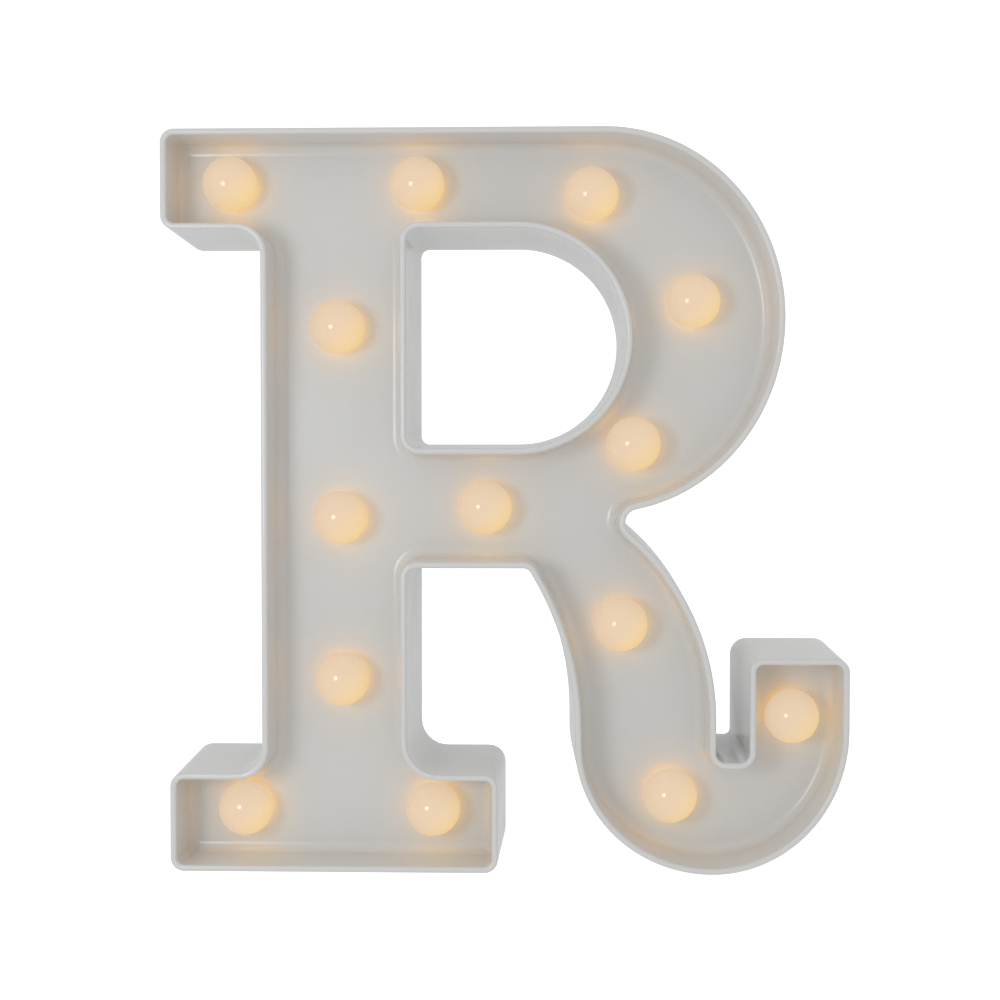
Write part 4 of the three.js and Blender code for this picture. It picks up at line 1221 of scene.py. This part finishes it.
def slider():
    """The switch's knob, with three grooves across its back."""
    low, high = box_mm("switch_knob")
    rings = [(low.y, 0), (high.y - SMALL_ROUND, 0), (high.y, SMALL_ROUND)]
    knob = slab((low.x, high.x), (low.z, high.z), rings)
    cuts = []
    for k in (-1, 0, 1):
        x = (low.x + high.x) / 2 + k * KNOB_LENGTH / 4
        groove = [(high.y - GROOVE_DEPTH, 0), (high.y + OVERRUN, 0)]
        cuts.append(slab(around(x, GROOVE_DEPTH / 2), (low.z - GAP, high.z + GAP), groove, LEAST_ROUND))
    return combined(knob, "DIFFERENCE", cuts)


knob = slider()
knob.name = "switch_slider"
dress(knob, black)
stands_for(knob, "knob", "black_plastic", "switch_knob")


# Screws

def screw_pattern():
    """A countersunk cross-head screw about the y axis, with its thread and its driver recess."""
    low, high = box_mm("screw_01")
    neck = high.y - SCREW_HEAD_RADIUS + SCREW_SHANK_RADIUS
    count = math.ceil((neck - low.y) / THREAD_PITCH * THREAD_STEPS)
    levels = [low.y + (neck - low.y) * row / count for row in range(count + 1)]
    rows = [[thread_point(y, side, low.y, neck) for side in range(SCREW_SIDES)] for y in levels]
    rows.append(circle(0, high.y - LEAST_ROUND, 0, SCREW_HEAD_RADIUS, SCREW_SIDES))
    rows.append(circle(0, high.y, 0, SCREW_HEAD_RADIUS - LEAST_ROUND, SCREW_SIDES))
    screw = lofted("screw_pattern", rows)
    rings = [(high.y - RECESS_REACH, RECESS_TAPER), (high.y + OVERRUN, 0)]
    long, short = around(0, RECESS_LENGTH / 2), around(0, RECESS_STROKE / 2 + RECESS_TAPER)
    cross = [slab(long, short, rings, LEAST_ROUND), slab(short, long, rings, LEAST_ROUND)]
    return combined(screw, "DIFFERENCE", cross)


def thread_point(y, side, tip, neck):
    """A point of the shank, whose ridge winds up it, half a pitch wide, and fades at both its ends."""
    angle = 2 * math.pi * side / SCREW_SIDES
    wave = (y / THREAD_PITCH - side / SCREW_SIDES) % 1
    ridge = max(0, 1 - abs(wave - 1 / 2) * 4)
    fade = min(1, (y - tip) / THREAD_PITCH, (neck - y) / THREAD_PITCH)
    core = (SCREW_SHANK_RADIUS - THREAD_DEPTH) * min(1, 1 / 2 + (y - tip) / (2 * THREAD_PITCH))
    radius = core + THREAD_DEPTH * max(ridge * fade, 1 - (neck - y) / THREAD_DEPTH)
    return Vector((radius * math.cos(angle), y, radius * math.sin(angle)))


screws = repeated(
    "cover_screws", screw_pattern(), at_depth(screw_spots, 0), zinc, seed=7, most_turn=2 * math.pi)
stands_for(screws, "letter", "zinc", *screw_nodes)


# Cells, springs, lamps and wires

def cell(name, node, nub_up):
    """A cell with rolled sleeve edges, keeping each point's level along it for the sleeve's bands."""
    low, high = box_mm(node)
    middle = (low + high) / 2
    length = high.z - low.z
    shoulder = length - CELL_NUB_HEIGHT
    lip = CELL_LIP
    profile = [
        (SLEEVE_SINK, cell_radius - lip * 2), (0, cell_radius - lip * 1.5), (0, cell_radius - lip / 2),
        (lip / 4, cell_radius - lip / 8), (lip, cell_radius), (shoulder - lip, cell_radius),
        (shoulder - lip / 4, cell_radius - lip / 8), (shoulder, cell_radius - lip / 2),
        (shoulder, cell_radius - lip * 1.5), (shoulder - SLEEVE_SINK, cell_radius - lip * 2),
        (shoulder - SLEEVE_SINK, CELL_NUB_RADIUS + lip / 2), (shoulder, CELL_NUB_RADIUS),
        (length - lip / 2, CELL_NUB_RADIUS), (length, CELL_NUB_RADIUS - lip / 2),
    ]
    sense = 1 if nub_up else -1
    start = low.z if nub_up else high.z
    rings = []
    for level, radius in profile:
        points = []
        for k in range(CELL_SIDES):
            angle = 2 * math.pi * k / CELL_SIDES
            across = Vector((math.cos(angle), math.sin(angle), 0)) * radius
            points.append(Vector((middle.x, middle.y, start + sense * level)) + across)
        rings.append(points)
    piece = lofted(name, rings)
    share = piece.data.attributes.new("cell_level", "FLOAT", "POINT")
    for point, value in zip(piece.data.vertices, share.data):
        value.value = (point.co.z / MM - start) * sense / length
    dress(piece, sleeve)
    stands_for(piece, "letter", "cell_sleeve", node)


def coil(name, node, partner, seat_up):
    """A conical contact spring, its wide end on its seat."""
    low, high = box_mm(node)
    piece = linked(name, bpy.data.meshes.new(name))
    seat = Vector((centre_of(partner).x, cell_y, high.z if seat_up else low.z)) * MM
    length = (high.z - low.z - SPRING_WIRE) * MM
    sizes = {
        "Seat": ("NodeSocketVector", seat),
        "Turned over": ("NodeSocketRotation", (math.pi if seat_up else 0, 0, 0)),
        "Radius": ("NodeSocketFloat", SPRING_WIRE / 2 * MM),
        "Wide": ("NodeSocketFloat", (SPRING_WIDE - SPRING_WIRE / 2) * MM),
        "Narrow": ("NodeSocketFloat", (SPRING_NARROW - SPRING_WIRE / 2) * MM),
        "Length": ("NodeSocketFloat", length),
        "Turns": ("NodeSocketFloat", SPRING_TURNS),
    }
    tree, start, end = tree_modifier(piece, name + "_tree", sizes)
    spiral = add(tree, "GeometryNodeCurveSpiral", Resolution=SPRING_STEPS)
    lift = add(tree, "GeometryNodeTransform", Translation=(0, 0, SPRING_WIRE / 2 * MM))
    place = tree.nodes.new("GeometryNodeTransform")
    join(
        tree,
        (start, "Turns", spiral, "Rotations"), (start, "Wide", spiral, "Start Radius"),
        (start, "Narrow", spiral, "End Radius"), (start, "Length", spiral, "Height"),
        (spiral, "Curve", lift, "Geometry"), (lift, "Geometry", place, "Geometry"),
        (start, "Seat", place, "Translation"), (start, "Turned over", place, "Rotation"),
    )
    wire_along(tree, start, end, place.outputs["Geometry"], nickel)
    settled(piece)
    stands_for(piece, "letter", "nickel", node)


def wire_along(tree, start, end, curve, finish):
    """A round wire along a curve, of the tree's radius, as what the tree gives."""
    ring = add(tree, "GeometryNodeCurvePrimitiveCircle", Resolution=WIRE_SIDES)
    tube = tree.nodes.new("GeometryNodeCurveToMesh")
    fix(tube, {"Fill Caps": True})
    tree.links.new(curve, tube.inputs["Curve"])
    join(tree, (start, "Radius", ring, "Radius"), (ring, "Curve", tube, "Profile Curve"))
    finish_tree(tree, end, tube.outputs["Mesh"], finish)


def cable(name, routes, radius, finish):
    """Round wires along routes, with each bend eased."""
    points, links = [], []
    for route in routes:
        start = len(points)
        points += [p * MM for p in route]
        links += [(start + k, start + k + 1) for k in range(len(route) - 1)]
    mesh = bpy.data.meshes.new(name)
    mesh.from_pydata(points, links, [])
    piece = linked(name, mesh)
    sizes = {
        "Radius": ("NodeSocketFloat", radius * MM),
        "Bend": ("NodeSocketFloat", radius * WIRE_BEND * MM),
    }
    tree, start, end = tree_modifier(piece, name + "_tree", sizes)
    path = tree.nodes.new("GeometryNodeMeshToCurve")
    ease = add(tree, "GeometryNodeFilletCurve", mode="POLY", Count=WIRE_BEND_STEPS)
    join(
        tree,
        (start, "Geometry", path, "Mesh"), (path, "Curve", ease, "Curve"),
        (start, "Bend", ease, "Radius"),
    )
    wire_along(tree, start, end, ease.outputs["Curve"], finish)
    return settled(piece, WIRE_SHARP_DEGREES)


def ribbon_core(side):
    """One core of the two-core ribbon, beside the line from lamp to lamp."""
    low, high = box_mm("lamp_ribbon")
    level = (low.y + high.y) / 2
    detour = Vector((hook_mid + (hook_right - hook_mid) * DETOUR_ACROSS, 0, SLOT_FLOOR * DETOUR_UP))
    spots = [*ball_spots, detour]
    routes = []
    for first, last in RIBBON_LINKS:
        a, b = (Vector((spots[k].x, level, spots[k].z)) for k in (first, last))
        way = (b - a).normalized()
        beside = Vector((-way.z, 0, way.x)) * side * CORE_RADIUS
        routes.append([a + beside, b + beside])
    return routes


def tail_routes():
    """The red, black and switch tails, from their nodes' own boxes."""
    low, high = box_mm("red_tail")
    r = TAIL_RADIUS
    level = high.y - r
    red = [
        (low.x + r, level, low.z), (low.x + r, level, high.z - r),
        (low.x + r, low.y + r, high.z - r), (high.x, low.y + r, high.z - r),
    ]
    low, high = box_mm("black_tail")
    aside = stem_right - BACK_WALL - r - GAP
    black = [
        (low.x, level, high.z - r), (aside, level, high.z - r),
        (aside, level, low.z + r), (high.x, level, low.z + r),
    ]
    start = (high.x + SWITCH_LUG_SPACING, level, switch_at.z)
    low, high = box_mm("switch_tail")
    turn = (switch_at.z + high.z) / 2
    switch = [
        start, (high.x - r, level, turn),
        (high.x - r, low.y + r, turn), (high.x - r, low.y + r, high.z),
    ]
    return [[Vector(at) for at in route] for route in (red, black, switch)]


def lamp_pattern():
    """A round-nosed lamp with its flange and leads, about the y axis."""
    low, high = box_mm("lamp_01")
    base = high.y - LEAD_LENGTH
    nose = low.y + LAMP_RADIUS
    dome = [(nose - along, out) for along, out in swept(LAMP_RADIUS, 0, QUARTER, LAMP_RINGS)]
    flange = LAMP_RADIUS + LAMP_FLANGE
    step = base - LAMP_FLANGE_HEIGHT
    skirt = [(step, LAMP_RADIUS), (step, flange), (base, flange), (base, 0)]
    lamp = lathed("lamp_pattern", dome + skirt, HOLE_SIDES)
    rings = [(base - LAMP_FLANGE_HEIGHT / 2, 0), (high.y, 0)]
    thick = around(0, LEAD_SIDE / 2)
    spots = around(0, LEAD_SPACING / 2)
    leads = [slab(around(x, LEAD_SIDE / 2), thick, rings, LEAST_ROUND) for x in spots]
    return combined(lamp, "UNION", leads)


cell("cell_left", "battery_01", True)
cell("cell_right", "battery_02", False)
coil("coil_left", "spring_01", "battery_01", False)
coil("coil_right", "spring_02", "battery_02", True)
lamps = repeated("lamps", lamp_pattern(), at_depth(ball_spots, 0), lamp_finish, seed=3)
stands_for(lamps, "letter", "lamp_epoxy", *lamp_nodes)
red_core = cable("ribbon_red_core", ribbon_core(1), CORE_RADIUS, red_sheath)
stands_for(red_core, "letter", "red_insulation", "lamp_ribbon")
black_core = cable("ribbon_black_core", ribbon_core(-1), CORE_RADIUS, black_sheath)
stands_for(black_core, "letter", "black_insulation")
red_tail, black_tail, switch_tail = tail_routes()
for name, route, finish, slot in (
    ("red_tail", red_tail, red_sheath, "red_insulation"),
    ("black_tail", black_tail, black_sheath, "black_insulation"),
    ("switch_tail", switch_tail, black_sheath, "black_insulation"),
):
    stands_for(cable(name + "_wire", [route], TAIL_RADIUS, finish), "letter", slot, name)


# What the letter stands on, the light and the camera

def plain_stage(name, near, far):
    """A wide sheet of white paper between two edges given as (y, z)."""
    corners = [(-STAGE_HALF, *near), (STAGE_HALF, *near), (STAGE_HALF, *far), (-STAGE_HALF, *far)]
    mesh = bpy.data.meshes.new(name)
    mesh.from_pydata(corners, [], [range(len(corners))])
    piece = linked(name, mesh)
    piece.visible_diffuse = False
    piece.visible_glossy = False
    dress(piece, paper)


def white_paper():
    """Plain white that stays white where the light falls off."""
    look = Look("white_paper")
    fix(look.shader, {"Base Color": (0.5, 0.5, 0.5, 1), "Roughness": 1})
    fix(look.shader, {"Emission Color": (1, 1, 1, 1), "Emission Strength": PAPER_GLOW})
    return look.material


def aimed(piece, at, way):
    piece.location = at
    piece.rotation_euler = way.to_track_quat("-Z", "Y").to_euler()


def key_light():
    data = bpy.data.lights.new("key_light", "AREA")
    data.shape = "DISK"
    data.size = KEY_SIZE
    data.energy = KEY_POWER
    data.color = KEY_COLOUR
    aimed(linked("key_light", data), KEY_AT, KEY_TARGET - KEY_AT)


def camera():
    data = bpy.data.cameras.new("camera")
    data.sensor_width = SENSOR
    data.lens = LENS
    data.clip_start = CLIP_START
    data.clip_end = CLIP_END
    view = linked("camera", data)
    aimed(view, CAMERA_AT * MM, CAMERA_WAY)
    bpy.context.scene.camera = view


paper = white_paper()
plain_stage("floor", (-STAGE_HALF, 0), (STAGE_BACK, 0))
plain_stage("backdrop", (STAGE_BACK, 0), (STAGE_BACK, STAGE_TOP))
key_light()
camera()

world = bpy.data.worlds.new("studio")
world.use_nodes = True
fix(world.node_tree.nodes["Background"], {"Color": (1, 1, 1, 1), "Strength": WORLD_STRENGTH})
bpy.context.scene.world = world
bpy.context.scene.view_settings.view_transform = "Standard"


# The frame's own parts that stay

for name in ("switch_body", "link_plate", "positive_plate", "negative_plate"):
    dress(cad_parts[name], nickel)
